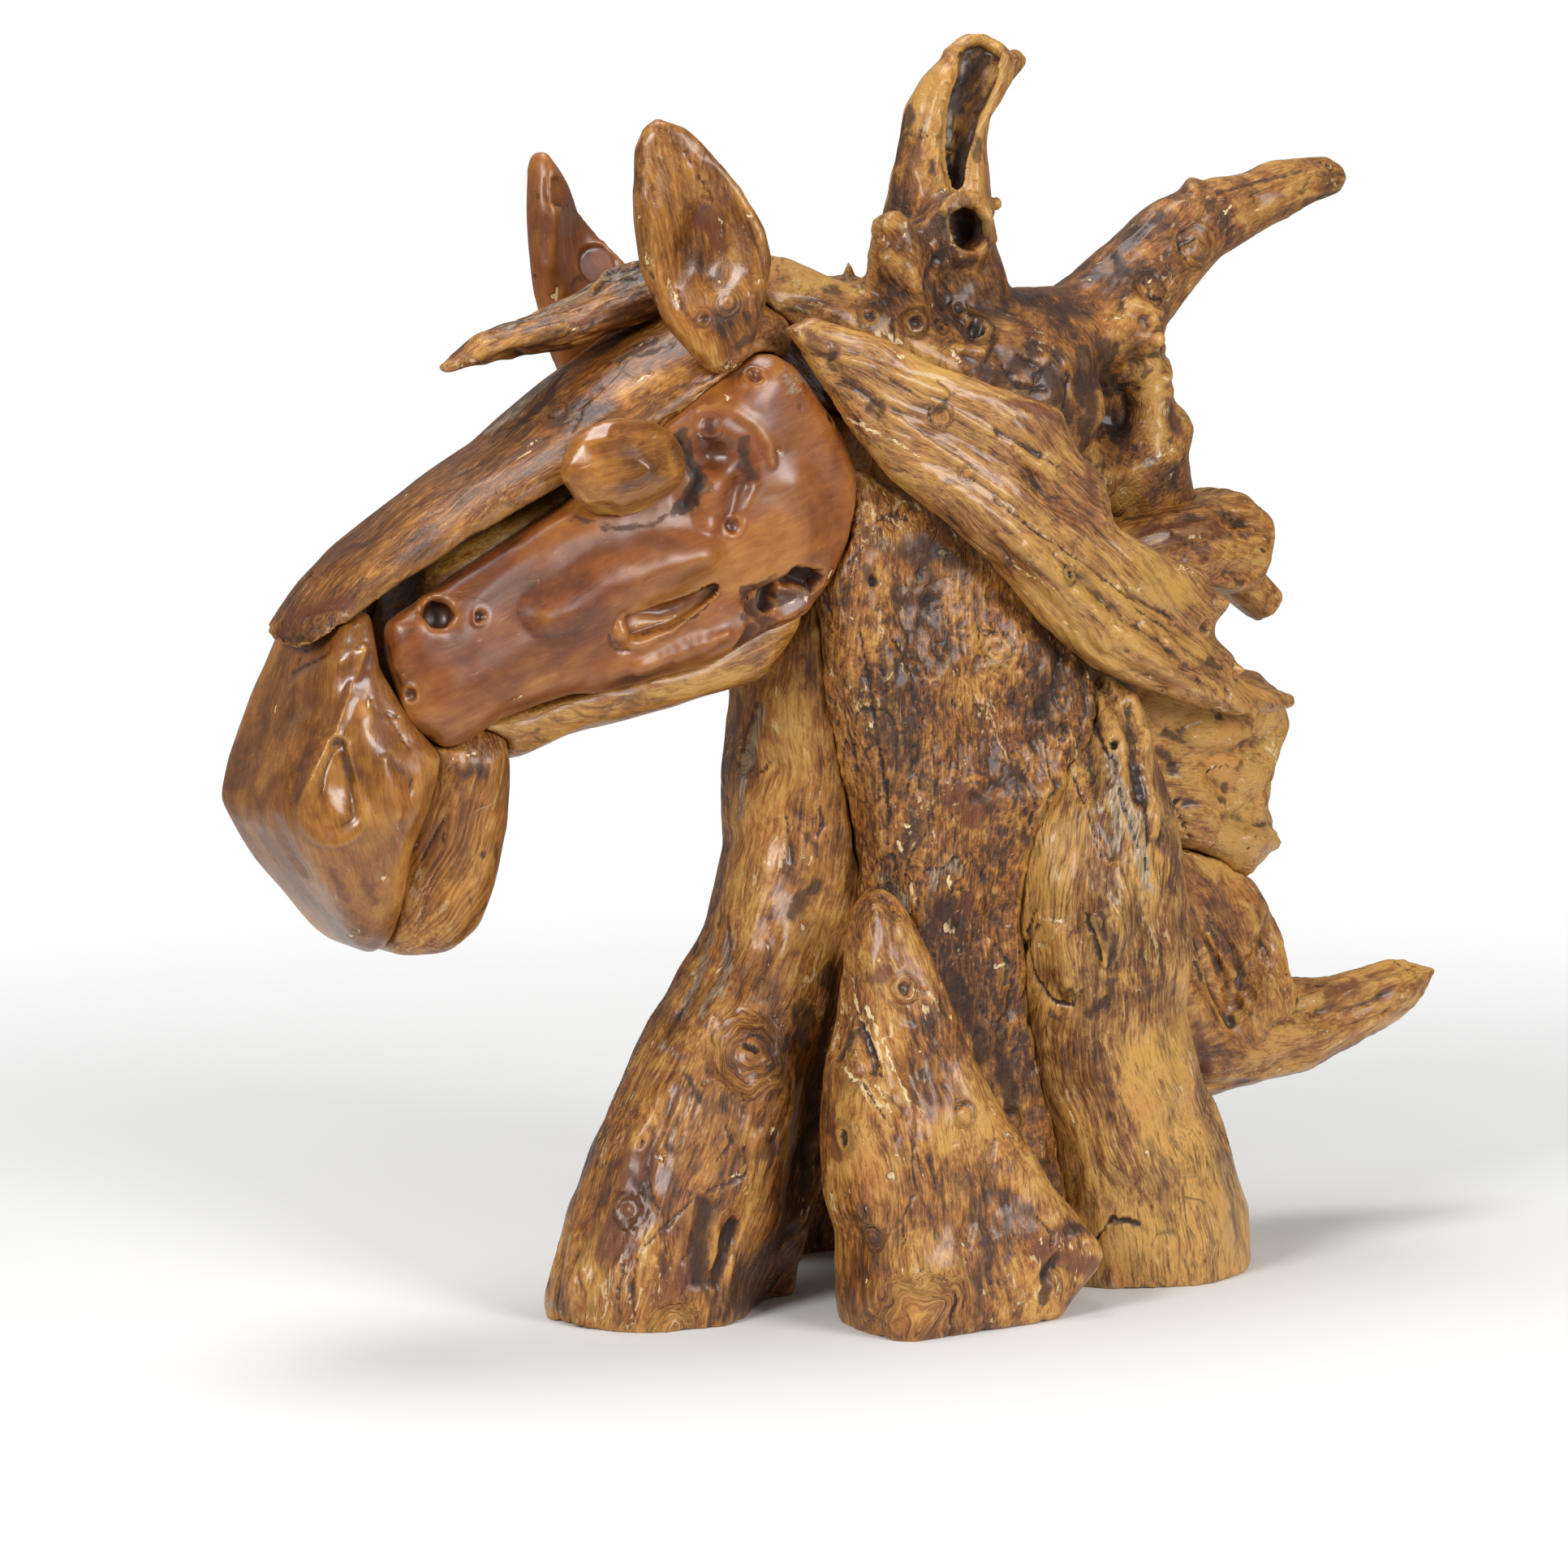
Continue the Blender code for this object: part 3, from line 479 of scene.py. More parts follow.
# The teak of one piece: what differs from these comes from the piece's own dictionary
teak = {
    "deep": (0.014, 0.006, 0.003), "dark": (0.052, 0.018, 0.006), "middle": (0.185, 0.063, 0.010),
    "light": (0.37, 0.147, 0.024), "gold": (0.57, 0.30, 0.066), "cream": (0.78, 0.59, 0.31),
    # ash, the lightest grey, is lightened to paint the silvery sheen of grey fibres
    "grey": (0.20, 0.145, 0.095), "ashSheen": (0.50, 0.42, 0.31), "red": (0.13, 0.032, 0.010),
    "stain": (0.036, 0.016, 0.010),
    "shift": -0.05,         # towards lighter or darker wood overall
    "fine": 0.42, "band": 0.3, "patch": 0.6, "crumb": 0.45, "figure": 0.25, "stretch": 0.45,
    "mottle": 0.4, "flecks": 0.3, "cracks": 0.6, "pores": 0.5,
    "patchSize": 16.0, "mottleSize": 48.0, "crumbSize": 240.0, "fleckSize": 340.0,    # cells to the metre
    # this line also sets how strongly the skin's hollows are painted in shade
    "roughness": 0.40, "coat": 0.34, "coatRoughness": 0.19, "gloss": 0.42, "hollow": 0.8,
    "fibreBump": 0.13, "crumbBump": 0.45, "speckBump": 0.06,    # millimetres
}


def varnishedTeak(node, changes):
    s = {**teak, **changes}
    f = Finish(node + "_teak")
    place = f.node("ShaderNodeTexCoord", {}, {}, 3)
    grain = f.attribute("grain", 1)
    stain = f.attribute("stain", 0)
    stainAndShadeChannels = f.node("ShaderNodeSeparateColor", {}, {0: stain}).socket.node.outputs
    darkMark, paleMark, greyMark = (Wire(f, stainAndShadeChannels[k]) for k in range(3))
    redMark = f.attribute("stain", 3)
    relief = f.attribute("relief", 2)
    toneMark = f.attribute("tone", 2)

    swirl = f.noise(place, 14.0, 2.0, 0.5, 0.0, 1)
    bent = f.shifted(grain, swirl, 0.022)
    fine = f.fibres(bent, 860.0, 48.0, 4.0, 0.68)
    band = f.fibres(bent, 105.0, 9.0, 3.0, 0.55, 0.4)
    patch = f.noise(place, s["patchSize"], 5.0, 0.6, 0.7)
    mottle = f.fibres(bent, s["mottleSize"], s["mottleSize"] * s["stretch"], 5.0, 0.66, 0.9)
    crumb = f.fibres(bent, s["crumbSize"], s["crumbSize"] * s["stretch"], 5.0, 0.7, 0.6)
    figure = f.fibres(bent, 34.0, 5.0, 2.0, 0.5, 0.5) * 16.0 + fine * 0.6
    figure = f.node("ShaderNodeMath", {"operation": "PINGPONG"}, {0: figure, 1: 0.5})
    warmth = f.noise(place, 31.0, 3.0, 0.6, 0.8)
    speck = f.noise(place, 420.0, 2.0, 0.6)

    tone = 0.5 + (fine - 0.5) * s["fine"] * 3 + (band - 0.5) * s["band"] * 3 + (patch - 0.5) * s["patch"] * 3
    tone = tone + s["shift"] + (crumb - 0.5) * s["crumb"] * 3 + (figure - 0.25) * s["figure"]
    # the relief term paints shade: darker where the skin sinks below its surroundings, lighter where it stands out
    tone = (tone + relief * 0.13 + toneMark - 0.5) * 1.2 + 0.47
    colour = f.ramp(tone, [(0.0, s["dark"]), (0.33, s["middle"]), (0.62, s["light"]), (1.0, s["gold"])])
    darkPatch = f.between(mottle + (crumb - 0.5) * 0.25, 0.56, 0.66) * s["mottle"]
    colour = f.mixed(darkPatch, colour, s["dark"])
    colour = f.mixed(f.between(warmth, 0.5, 0.68) * 0.35, colour, (0.95, 0.62, 0.45), "MULTIPLY")
    colour = f.mixed(f.between(warmth, 0.46, 0.3) * 0.4, colour, (0.95, 1.0, 0.8), "MULTIPLY")
    redShare = f.between(redMark + (patch - 0.5) * 0.6 + (crumb - 0.5) * 0.4, 0.15, 0.8)
    colour = f.mixed(redShare * 0.8, colour, s["red"])
    # grey marks: grey wood, its lightest part lightened to paint a silvery sheen
    greyAndSheenShare = f.between(greyMark + (fine - 0.5) * 2.6 + (crumb - 0.5) * 1.4, 0.35, 1.0)
    greyAndSheenTone = f.ramp(fine, [(0.3, s["dark"]), (0.5, s["grey"]), (0.7, s["ashSheen"])])
    colour = f.mixed(greyAndSheenShare * 0.75, colour, greyAndSheenTone)

    splinter = f.fibres(bent, s["fleckSize"], s["fleckSize"] * 0.6 * s["stretch"], 4.0, 0.68, 0.6)
    fleckGate = f.noise(place, 26.0, 2.0, 0.5)
    fleckShare = f.between(splinter + (fleckGate - 0.5) * 0.5 + relief * 0.04, 0.665, 0.705) * s["flecks"]
    paleShare = f.between(splinter + paleMark * 0.4 + relief * 0.05, 0.82, 0.89)
    creamShare = f.node("ShaderNodeMath", {"operation": "MAXIMUM"}, {0: fleckShare, 1: paleShare})
    colour = f.mixed(creamShare, colour, s["cream"])

    # dark marks: dark stains, and painted shade where dark rows and bores are put into hollows, holes and shadows
    darkShare = f.between(darkMark + (band - 0.5) * 0.8 + (crumb - 0.5) * 1.5, 0.3, 0.95)
    stainAndShadeTone = f.mixed(f.between(crumb + (fine - 0.5) * 0.6, 0.38, 0.68), s["stain"], s["dark"])
    colour = f.mixed(darkShare * 0.85, colour, stainAndShadeTone)
    colour = f.mixed(f.between(darkMark, 1.4, 2.1), colour, s["deep"])
    crackField = f.node("ShaderNodeTexVoronoi", {"feature": "DISTANCE_TO_EDGE"}, {
        "Vector": f.scaled(f.shifted(bent, swirl, 0.03), (85.0, 85.0, 8.0)), "Scale": 1.0,
    })
    crackGate = f.between(f.noise(place, 45.0, 2.0, 0.5), 0.54, 0.68)
    crack = f.between(crackField, 0.03, 0.0) * crackGate * s["cracks"]
    colour = f.mixed(crack * 0.6, colour, s["deep"])
    pore = f.between(f.fibres(bent, 1200.0, 190.0, 1.0, 0.5), 0.6, 0.7) * s["pores"]
    colour = f.mixed(pore * 0.55, colour, s["dark"])
    # painted shade: the wood is drawn towards the deep colour where the skin lies below its surroundings; raised
    # places are drawn towards gold
    hollow = f.between(relief + (crumb - 0.5) * 0.8, -0.1, -1.0)
    colour = f.mixed(hollow * s["hollow"], colour, s["deep"])
    crest = f.between(relief + (crumb - 0.5) * 0.8, 0.2, 1.1)
    colour = f.mixed(crest * 0.3, colour, s["gold"])

    rough = s["roughness"] + (speck - 0.5) * 0.2 + creamShare * 0.12 + greyAndSheenShare * 0.12
    rough = rough + (mottle - 0.5) * 0.25 + darkShare * 0.2
    rough = f.node("ShaderNodeClamp", {}, {0: rough, 1: 0.12, 2: 0.8})
    height = fine * (s["fibreBump"] * 3) + crumb * (s["crumbBump"] * 3) + speck * (s["speckBump"] * 3)
    height = height - pore * (s["fibreBump"] * 0.6) - crack * 0.5 + creamShare * (s["crumbBump"] * 0.3)
    bumped = f.node("ShaderNodeBump", {}, {"Height": height, "Strength": 1.0, "Distance": mm})
    shader = f.node("ShaderNodeBsdfPrincipled", {}, {
        "Base Color": colour, "Roughness": rough, "Normal": bumped, "IOR": 1.5, "Specular IOR Level": s["gloss"],
        "Coat Weight": (1.0 - darkShare * 0.8) * s["coat"], "Coat Roughness": s["coatRoughness"],
    })
    return f.surface(shader)


# The pieces. voxel, sizes and places are in millimetres; lumps, fibres, grooves, flakes and pits are sizes and a
# height; strewn has kind, count, smallest, largest, length along the fibres and strength; wood changes the teak

cheekLeft = {
    "voxel": 2.3, "rounds": 14, "seed": 11,
    "guides": ["-275 -50 300, -160 -55 345, -60 -60 385"],
    "lumps": [(66, 2.4), (34, 0.6)], "fibres": [(14, 160, 0.12)],
    "strewn": [("shade", 5, 10, 24, 1, 0.16), ("light", 5, 10, 24, 1, 0.16), ("dark", 5, 1.0, 2.0, 1, 0.6)],
    "forms": rowsIn("""
        dip 15.6 2.6 -71 -56 332 -17 0 -3 -19 -4 -6, fold 6.7 3.4 -167 -51 316,
        fold 7.2 2 -116 -58 313 -20 3 -7 -21 4 -6, dip 4.8 2 -103 -59 314 -5 6 -8,
        fold 30 5.4 -260 -38 286 30 -8 16 28 -2 17 26 -2 16 23 -2 10 22 -4 5,
        fold 18 4 -205 -48 327 28 -2 10 27 -3 8 22 -3 4, dip 18 3 -184 -41 287 -33 0 -9, dip 22.8 2.4 -117 -52 393,
        fold 14.4 2.8 -115 -57 399, fold 13.2 2.4 -114 -55 387 -6 -3 -11 -7 1 -13, dip 8.4 2 -107 -57 378 -9 -1 -14,
        dip 8.9 2.2 -138 -53 397 7 -3 -11 -4 0 -13, crest 4.8 1.1 -126 -51 412 11 -6 1 11 -3 -7 7 -1 -10 1 0 -9,
        fold 25.2 3.4 -85 -60 377 7 1 -26, scoop 8.9 4.4 -122 -57 333 -13 3 -7 -10 1 -3 -14 3 -3,
        dip 8.6 5 -75 -57 333 -13 -1 -3 -15 -2 -3
    """),
    # The dark rows from -187 -45 367 and from -138 -52 400 paint the eye's shadow below and to the right of it,
    # partly a dark stain too; the bore and the dark rows at about -72 -57 333 paint shade into the deep hollow at
    # the jaw corner
    "marks": rowsIn("""
        dark 6 1.2 -108 -57 387 4 -1 -4, dark 3.6 1 -187 -45 367 14 -5 -5 18 -2 0 14 -2 6, dark 3.1 .9 -107 -57 379,
        socket 4.8 .9 -124 -56 406, socket 4.3 1.8 -114 -59 362, socket 5 2.2 -101 -56 426,
        chip 1.4 .5 -129 -54 403 4 2 -5, chip 1.1 .4 -92 -60 393, chip 1.2 .4 -115 -54 418 1 -2 -3,
        dark 7.4 .55 -79 -59 413, socket 1.7 .6 -79 -59 412, socket 4.1 1.5 -59 -53 406,
        grey 8.4 .9 -84 -58 426 18 11 -7, chip 3.8 .8 -59 -54 335, crack 1.7 1 -173 -50 317 3 0 -7 7 -1 -2,
        socket 1.4 1.5 -164 -50 320, dark 7.2 1.5 -73 -57 334 -16 -3 -2 -15 0 -2,
        dark 8.4 1.1 -93 -55 320 -13 -3 -8 -1 5 -6, crack 1.4 1.5 -71 -51 320 -10 0 -4 -12 -3 -2,
        chip 1.2 .5 -74 -55 330 3 2 -3, chip 1.2 .5 -104 -60 328 3 -1 1, light 7.2 .3 -113 -59 333 22 -1 9 21 2 10,
        light 10.8 .28 -162 -51 304 21 -3 7 20 -3 10, light 7.2 .35 -214 -48 295 14 -1 4,
        light 8.4 .3 -121 -57 342 8 -2 9, shade 7.2 .25 -176 -47 293 16 0 2 15 -5 6,
        red 14.4 .7 -190 -49 354 25 -2 1 20 -3 -3, red 8.4 .6 -104 -59 417 10 -1 -13 3 0 15,
        shade 2.1 .35 -267 -25 324 -3 -8 -11 6 -5 -19 13 1 -21, socket 3.9 2 -262 -40 294,
        socket 3.3 2 -233 -46 326, grey 1.5 1.6 -234 -46 327, chip 3.3 .25 -215 -48 291,
        socket 9.6 2.5 -247 -34 324, red 16.5 .55 -260 -44 309 31 -1 32 30 -4 8, shade 6 .2 -189 -44 288 5 3 -1,
        light 9 .22 -245 -44 277 22 -3 13 32 -2 13, bore 6.2 7 -72 -57 333 -8 1 -1 -12 -1 -4,
        dark 2.6 1.2 -156 -52 315 11 -2 2 12 -1 4 7 -2 6, light 3.1 .35 -158 -51 320 13 -2 3 11 -1 3,
        light 5.3 .35 -167 -51 318, dark 7.9 2.1 -138 -52 400 6 -3 -11 2 -2 -9 -8 2 -10,
        dark 4.8 1.3 -109 -59 398 3 1 -10, shade 12 .22 -116 -57 400, pale 1.4 1 -129 -55 404 3 2 -5,
        pale 1.2 1 -75 -56 331 4 3 -6, pale 1.2 1 -104 -60 328 9 1 1, pale 1.4 .9 -75 -52 326 -19 -4 -1,
        dark 6 1.2 -105 -55 309 16 2 5, pale 1.9 .8 -78 -52 325 -11 -1 -2, pale 1.7 .8 -150 -52 321 10 -1 2,
        pale 1.7 .9 -128 -56 328 -12 3 -4, pale 1.4 .9 -150 -52 322 -8 0 -4, light 7.2 .3 -128 -56 328 -12 3 -4,
        dark 7.2 1.4 -72 -55 330 -14 2 -4 -18 -6 -3, dark 4.8 1.6 -90 -54 315 -11 -5 -1
    """),
    "wood": {
        "dark": (0.075, 0.020, 0.006), "middle": (0.190, 0.052, 0.009), "light": (0.30, 0.095, 0.015),
        "gold": (0.44, 0.18, 0.032), "fine": 0.08, "band": 0.22, "patch": 0.5, "mottle": 0.15, "flecks": 0.0,
        "figure": 0.12, "cracks": 0.1, "pores": 0.25, "roughness": 0.42, "coat": 0.55, "coatRoughness": 0.3,
        "crumb": 0.1, "hollow": 0.25, "shift": 0.0, "fibreBump": 0.012, "crumbBump": 0.03, "speckBump": 0.006,
    },
}
carved("cheek_left", cheekLeft)

cheekRight = {
    **cheekLeft, "seed": 12, "voxel": 3.2, "forms": [], "marks": [],
    "guides": ["-275 50 300, -160 55 345, -60 60 385"],
}
carved("cheek_right", cheekRight)

muzzle = {
    "voxel": 2.2, "rounds": 12, "seed": 13,
    "guides": ["-284 0 330, -290 0 285, -285 0 240, -278 0 180"],
    "lumps": [(30, 0.7)], "fibres": [(12, 120, 0.15)],
    "strewn": [
        ("shade", 4, 8, 20, 1, 0.08), ("light", 4, 8, 20, 1, 0.08), ("pale", 6, 0.8, 1.4, 3, 1.0),
        ("dark", 6, 1.0, 2.4, 2, 0.6),
    ],
    "forms": rowsIn("""
        fair 40.5 300 -300 -46 279 -2 3 -23 -5 -5 -16, scoop 13.8 2.6 -302 -46 275 0 3 -16 -3 -4 -11,
        crest 4.5 1.7 -285 -38 314 -4 -1 -10 -10 -4 -16 -3 -1 -9, fold 7.5 1.4 -301 -1 296 4 -24 10 11 -12 8,
        dip 9 1.4 -306 -10 286 5 -22 9 7 -7 6, dip 12 1.8 -279 -41 299 0 -6 -16 8 0 -6,
        dip 10.5 1.6 -316 -14 238 10 -4 -19, fold 9 1.6 -283 -52 267 6 1 -22,
        dip 10.5 1.2 -304 -37 288 -8 9 -19 -3 -1 -14
    """),
    "marks": rowsIn("""
        shade 6 .25 -309 -47 254 -3 1 -8, light 6 .2 -301 -44 264 6 4 -6, dark 6 .45 -314 -35 233 7 -8 -3,
        red 10.5 .5 -278 -47 281 6 -2 -10, red 9 .6 -317 -1 245 2 -13 14 4 21 -31, red 9 .6 -300 -41 289 21 4 21,
        dark 4.5 .6 -273 -50 262 -7 -1 6, light 9 .3 -265 -50 251 8 3 13, light 9 .3 -276 -42 211 6 -4 17,
        light 7.5 .25 -290 -52 245 10 2 -7, light 6 .25 -284 -42 299 -5 -2 -10,
        crack 1.2 .5 -277 -45 287 6 -1 -8 4 -1 -7, crack .9 .8 -277 -45 288 6 1 -3,
        crack .9 .8 -268 -50 259 -1 0 -7, crack 1.1 .8 -295 -4 313 -2 5 -7 -2 0 -6, chip 1.1 .3 -305 9 287 -2 -6 -6,
        chip .9 .3 -284 -43 295 -1 -3 -5, chip .9 .3 -313 17 265, chip 1.2 .3 -280 -45 216 4 1 0,
        red 4.5 .7 -303 -40 220 10 5 -14, red 4.5 .7 -289 -44 216 9 7 -12, dark 2.4 .7 -286 -23 191 7 -2 -3,
        chip 1.3 .4 -283 -16 187 0 -9 3, shade 6 .18 -298 -47 273 6 3 -11, light 10.5 .22 -302 -43 253 -5 -5 -10,
        crack 1.1 .7 -299 3 301 3 -25 9 10 -15 5, red 2.7 .8 -299 3 301 3 -25 9 10 -15 5,
        shade 9 .14 -311 -31 269 -5 1 -16, red 9 .5 -301 -1 296 -1 -38 -7, red 9 .5 -281 -42 299 2 -7 -22
    """),
    "wood": {
        "figure": 0.12, "fine": 0.14, "band": 0.2, "patch": 0.4, "mottle": 0.1, "flecks": 0.06, "cracks": 0.2,
        "roughness": 0.32, "coat": 0.5, "coatRoughness": 0.2, "crumb": 0.06, "hollow": 0.25, "fibreBump": 0.02,
        "crumbBump": 0.05, "speckBump": 0.01,
    },
}
carved("muzzle", muzzle)

brow = {
    "voxel": 2.6, "rounds": 8, "seed": 14,
    "guides": ["-305 0 312, -190 0 385, -66 0 444"],
    "lumps": [(30, 0.6)], "fibres": [(9, 120, 0.25)],
    "strewn": [
        ("crack", 8, 0.8, 1.2, 10, 0.6), ("pale", 8, 0.9, 1.6, 5, 0.9), ("dark", 26, 0.8, 1.8, 4, 0.7),
        ("shade", 3, 8, 18, 2, 0.08), ("light", 3, 8, 18, 2, 0.08),
    ],
    "forms": rowsIn("""
        dip 10.5 2.6 -306 8 312 2 -24 4 8 -13 5
    """),
    "marks": rowsIn("""
        grey 9.9 1.3 -187 11 410 14 -3 10 23 21 8, grey 6.6 1.3 -196 14 402 9 -9 8,
        dark 5 1.6 -188 -4 408 9 -3 7 13 8 10, dark 5.9 1.6 -147 12 436 1 -6 1 8 -8 5,
        dark 3.6 1.2 -149 -21 432 17 -1 9, dark 3 1 -142 -25 434 11 -3 4, chip 2.3 .6 -131 -47 411 13 -1 9 29 26 6,
        pale 3.3 1 -133 -46 410 29 24 7 16 -1 10, crack 2 2 -144 -46 405 9 0 5, light 9.9 .28 -155 -38 419 26 -3 11,
        light 6.6 .25 -165 -33 416 24 -3 12, shade 8.3 .22 -181 -24 408 15 -11 5, chip 1 .3 -209 -26 390 11 -2 5,
        chip 1 .3 -197 -24 397 6 -2 3, crack 1.2 .8 -225 -12 384 17 -2 9, crack 1.2 .8 -202 11 398 15 -20 10,
        crack 1 .7 -176 -27 412 14 -1 9, chip 1.2 .3 -151 -34 424 11 -3 4, chip 1 .3 -140 -18 438 7 -3 3,
        knot 4.3 .8 -181 -20 411, dark 6 .8 -271 1 354 7 -11 5, dark 7.5 .7 -265 37 349 -8 -36 4,
        light 10.5 .16 -286 -4 339 15 -19 11 14 3 12, light 4.5 .3 -282 -20 342 13 -12 6,
        red 9 .9 -303 7 318 6 -16 10 10 -20 4, dark 3 .9 -306 8 313 2 -24 5, crack 1.5 1.2 -286 16 340 3 -2 3,
        crack 1.1 .8 -299 -6 326 9 -21 5, light 12 .2 -251 -21 366 14 -15 0, red 9 .5 -252 -37 349 18 -1 11 17 -3 8
    """),
    "wood": {
        "coat": 0.2, "shift": -0.18, "fine": 0.36, "band": 0.12, "patch": 0.2, "crumb": 0.35, "mottle": 0.12,
        "figure": 0.15, "roughness": 0.4, "flecks": 0.15, "hollow": 0.5, "fibreBump": 0.09, "crumbBump": 0.12,
        "speckBump": 0.09,
    },
}
carved("brow", brow)

chin = {
    "voxel": 2.6, "rounds": 8, "seed": 15,
    "guides": ["-216 0 285, -222 0 240, -238 0 200, -262 0 176"],
    "lumps": [(26, 0.6)], "fibres": [(5, 90, 0.2)],
    "strewn": [("crack", 5, 0.8, 1.2, 6, 0.6), ("dark", 8, 1.2, 3.5, 2, 0.8), ("shade", 4, 8, 16, 1, 0.15)],
    "forms": [],
    "marks": rowsIn("""
        shade 6 .35 -229 -38 257 -10 0 2, dark 3 1.2 -229 -37 221, dark 2.4 1.1 -246 -36 232 -1 0 -4,
        light 9 .25 -242 -37 205 9 -1 7 7 1 21, light 6 .25 -264 -24 187 12 -1 -9, red 9 .6 -255 -32 226 8 -4 11,
        crack .9 .8 -255 -32 220 10 -5 21, dark 2.1 .8 -236 -38 206 2 0 -7, chip 1.5 .3 -243 -37 264 12 1 2
    """),
    "wood": {
        "fine": 0.3, "figure": 0.5, "patch": 0.3, "crumb": 0.15, "mottle": 0.15, "band": 0.2, "shift": 0.0,
        "crumbBump": 0.12, "fibreBump": 0.1,
    },
}
carved("chin", chin)

jaw = {
    "voxel": 3.4, "rounds": 8, "seed": 16,
    "guides": ["-250 0 276, -160 0 268, -80 0 284"],
    "lumps": [(26, 0.6)], "fibres": [(6, 90, 0.2)],
    "forms": [],
    "marks": rowsIn("""
        light 7.2 .2 -192 -34 278 48 -3 9 52 -2 5, shade 3.6 .3 -97 -37 289 15 1 5,
        dark 2.4 .8 -208 -32 271 10 -1 2, light 4.5 .3 -190 -31 268 30 -4 11
    """),
    "wood": {"shift": 0.12, "mottle": 0.2, "crumbBump": 0.12},
}
carved("jaw", jaw)

earLeft = {
    "voxel": 1.8, "rounds": 7, "seed": 17,
    "guides": ["-118 -48 425, -150 -48 538"],
    "lumps": [(24, 0.5)], "fibres": [(6, 120, 0.2)],
    "strewn": [("pale", 10, 0.8, 1.8, 4, 1.0), ("crack", 4, 0.7, 1.1, 9, 0.6), ("dark", 5, 1.2, 3, 2, 0.7)],
    "forms": rowsIn("""
        dip 15.7 2.5 -125 -52 497 0 3 -22, fold 5 1 -145 -53 536 16 -3 -8 17 -5 -22 7 -6 -20
    """),
    "marks": rowsIn("""
        red 8.6 1.3 -123 -52 497 5 0 -11, crack 1.2 1 -137 -58 525 6 -1 -11 9 4 -11,
        light 6.6 .25 -147 -54 528 11 -4 -11 14 5 -20, shade 9.9 .25 -125 -49 475 -9 0 7,
        chip 1.3 .4 -152 -49 482 2 3 -8, chip 1 .3 -155 -48 497 1 -1 -4, chip 1.8 .5 -104 -66 469,
        chip 1.3 .4 -107 -65 471, chip 1.5 .4 -118 -55 495 2 1 -5, chip 2.3 .5 -140 -49 471 5 -1 -14,
        chip 2.6 .8 -116 -57 432 14 3 5, chip 2.3 .8 -118 -55 431 9 0 0, dark 5 1 -113 -60 439 10 -1 6,
        dark 2.6 .9 -145 -42 462 14 4 -17 6 -7 -12, shade 11.6 .3 -120 -58 449 15 -6 6, socket 3 .9 -125 -54 452,
        knot 4 .7 -117 -59 459, light 9.9 .2 -112 -58 481 6 -8 1, light 6.6 .2 -135 -50 452 9 -3 -12
    """),
    "wood": {
        "fine": 0.26, "roughness": 0.34, "coat": 0.4, "flecks": 0.25, "shift": 0.0, "hollow": 0.4, "figure": 0.35,
        "crumb": 0.18, "patch": 0.4, "mottle": 0.2, "crumbBump": 0.14, "fibreBump": 0.08,
    },
}
carved("ear_left", earLeft)

earRight = {
    "voxel": 2.2, "rounds": 7, "seed": 18,
    "guides": ["-130 47 412, -155 47 525"],
    "lumps": [(24, 0.5)], "fibres": [(8, 120, 0.1)],
    "forms": rowsIn("""
        facet 6.3 1.2 -147 39 505, facet 9.2 1.6 -121 49 471, facet 9.9 1.2 -155 37 484
    """),
    "marks": rowsIn("""
        light 5.9 .4 -147 39 505, chip 1.5 .3 -141 43 500, crack 1 .8 -153 39 511 -1 -2 -10 10 3 -4,
        crack 1 .8 -131 48 470 4 3 7 10 1 2, chip 3 .5 -149 39 461 1 -1 -5, socket 2 .8 -156 45 467,
        socket 1.7 .5 -156 41 503, dark 4 .8 -140 41 462 9 6 5
    """),
    "wood": cheekLeft["wood"],
}
carved("ear_right", earRight)

eyeLeft = {
    "voxel": 1.8, "rounds": 6, "seed": 19,
    "guides": ["-198 -62 378, -166 -66 390, -134 -58 398"],
    "lumps": [(14, 0.4)], "fibres": [(7, 60, 0.15)],
    "strewn": [("dark", 4, 1.0, 2.5, 1, 0.5), ("pale", 4, 0.8, 1.2, 2, 0.9), ("shade", 3, 5, 10, 1, 0.2)],
    "forms": rowsIn("""
        facet 11.4 1 -172 -70 389, facet 9.6 1.4 -189 -61 382, facet 10.8 1.6 -153 -54 369,
        facet 9.6 1.4 -148 -65 394, facet 8.4 1.3 -177 -60 371, facet 10.8 1 -171 -63 405
    """),
    "marks": rowsIn("""
        shade 8.4 .3 -172 -66 400 9 -6 -12 -9 4 -6, light 7.2 .22 -189 -62 384 3 -2 10,
        light 6 .25 -150 -64 399 3 -1 -12, light 4.8 .3 -167 -50 368 10 -5 2 15 1 6,
        crack 1.4 .9 -179 -61 372 26 8 -2 11 -1 6, chip 1.1 .4 -176 -54 369 9 4 -1,
        red 9.6 .55 -172 -60 408 12 -1 -1, red 4.8 .5 -194 -55 382 6 -1 -7,
        dark 1.9 .7 -190 -53 375 16 4 -6 15 -2 -1 15 -3 6 5 -1 5, light 3.1 .3 -188 -59 376 16 3 -7 19 3 1 10 -1 4,
        dark 4.8 .5 -174 -68 395 4 -2 -4
    """),
    "wood": {
        "shift": -0.07, "roughness": 0.32, "coat": 0.5, "coatRoughness": 0.2, "flecks": 0.05, "hollow": 0.3,
        "crumb": 0.12, "patch": 0.45, "fine": 0.15, "band": 0.2, "figure": 0.1, "mottle": 0.2, "fibreBump": 0.02,
        "crumbBump": 0.05, "speckBump": 0.01,
    },
}
carved("eye_left", eyeLeft)

eyeRight = {
    **eyeLeft, "seed": 20, "forms": [], "marks": [],
    "guides": ["-198 62 372, -166 64 382, -134 58 390"],
}
carved("eye_right", eyeRight)

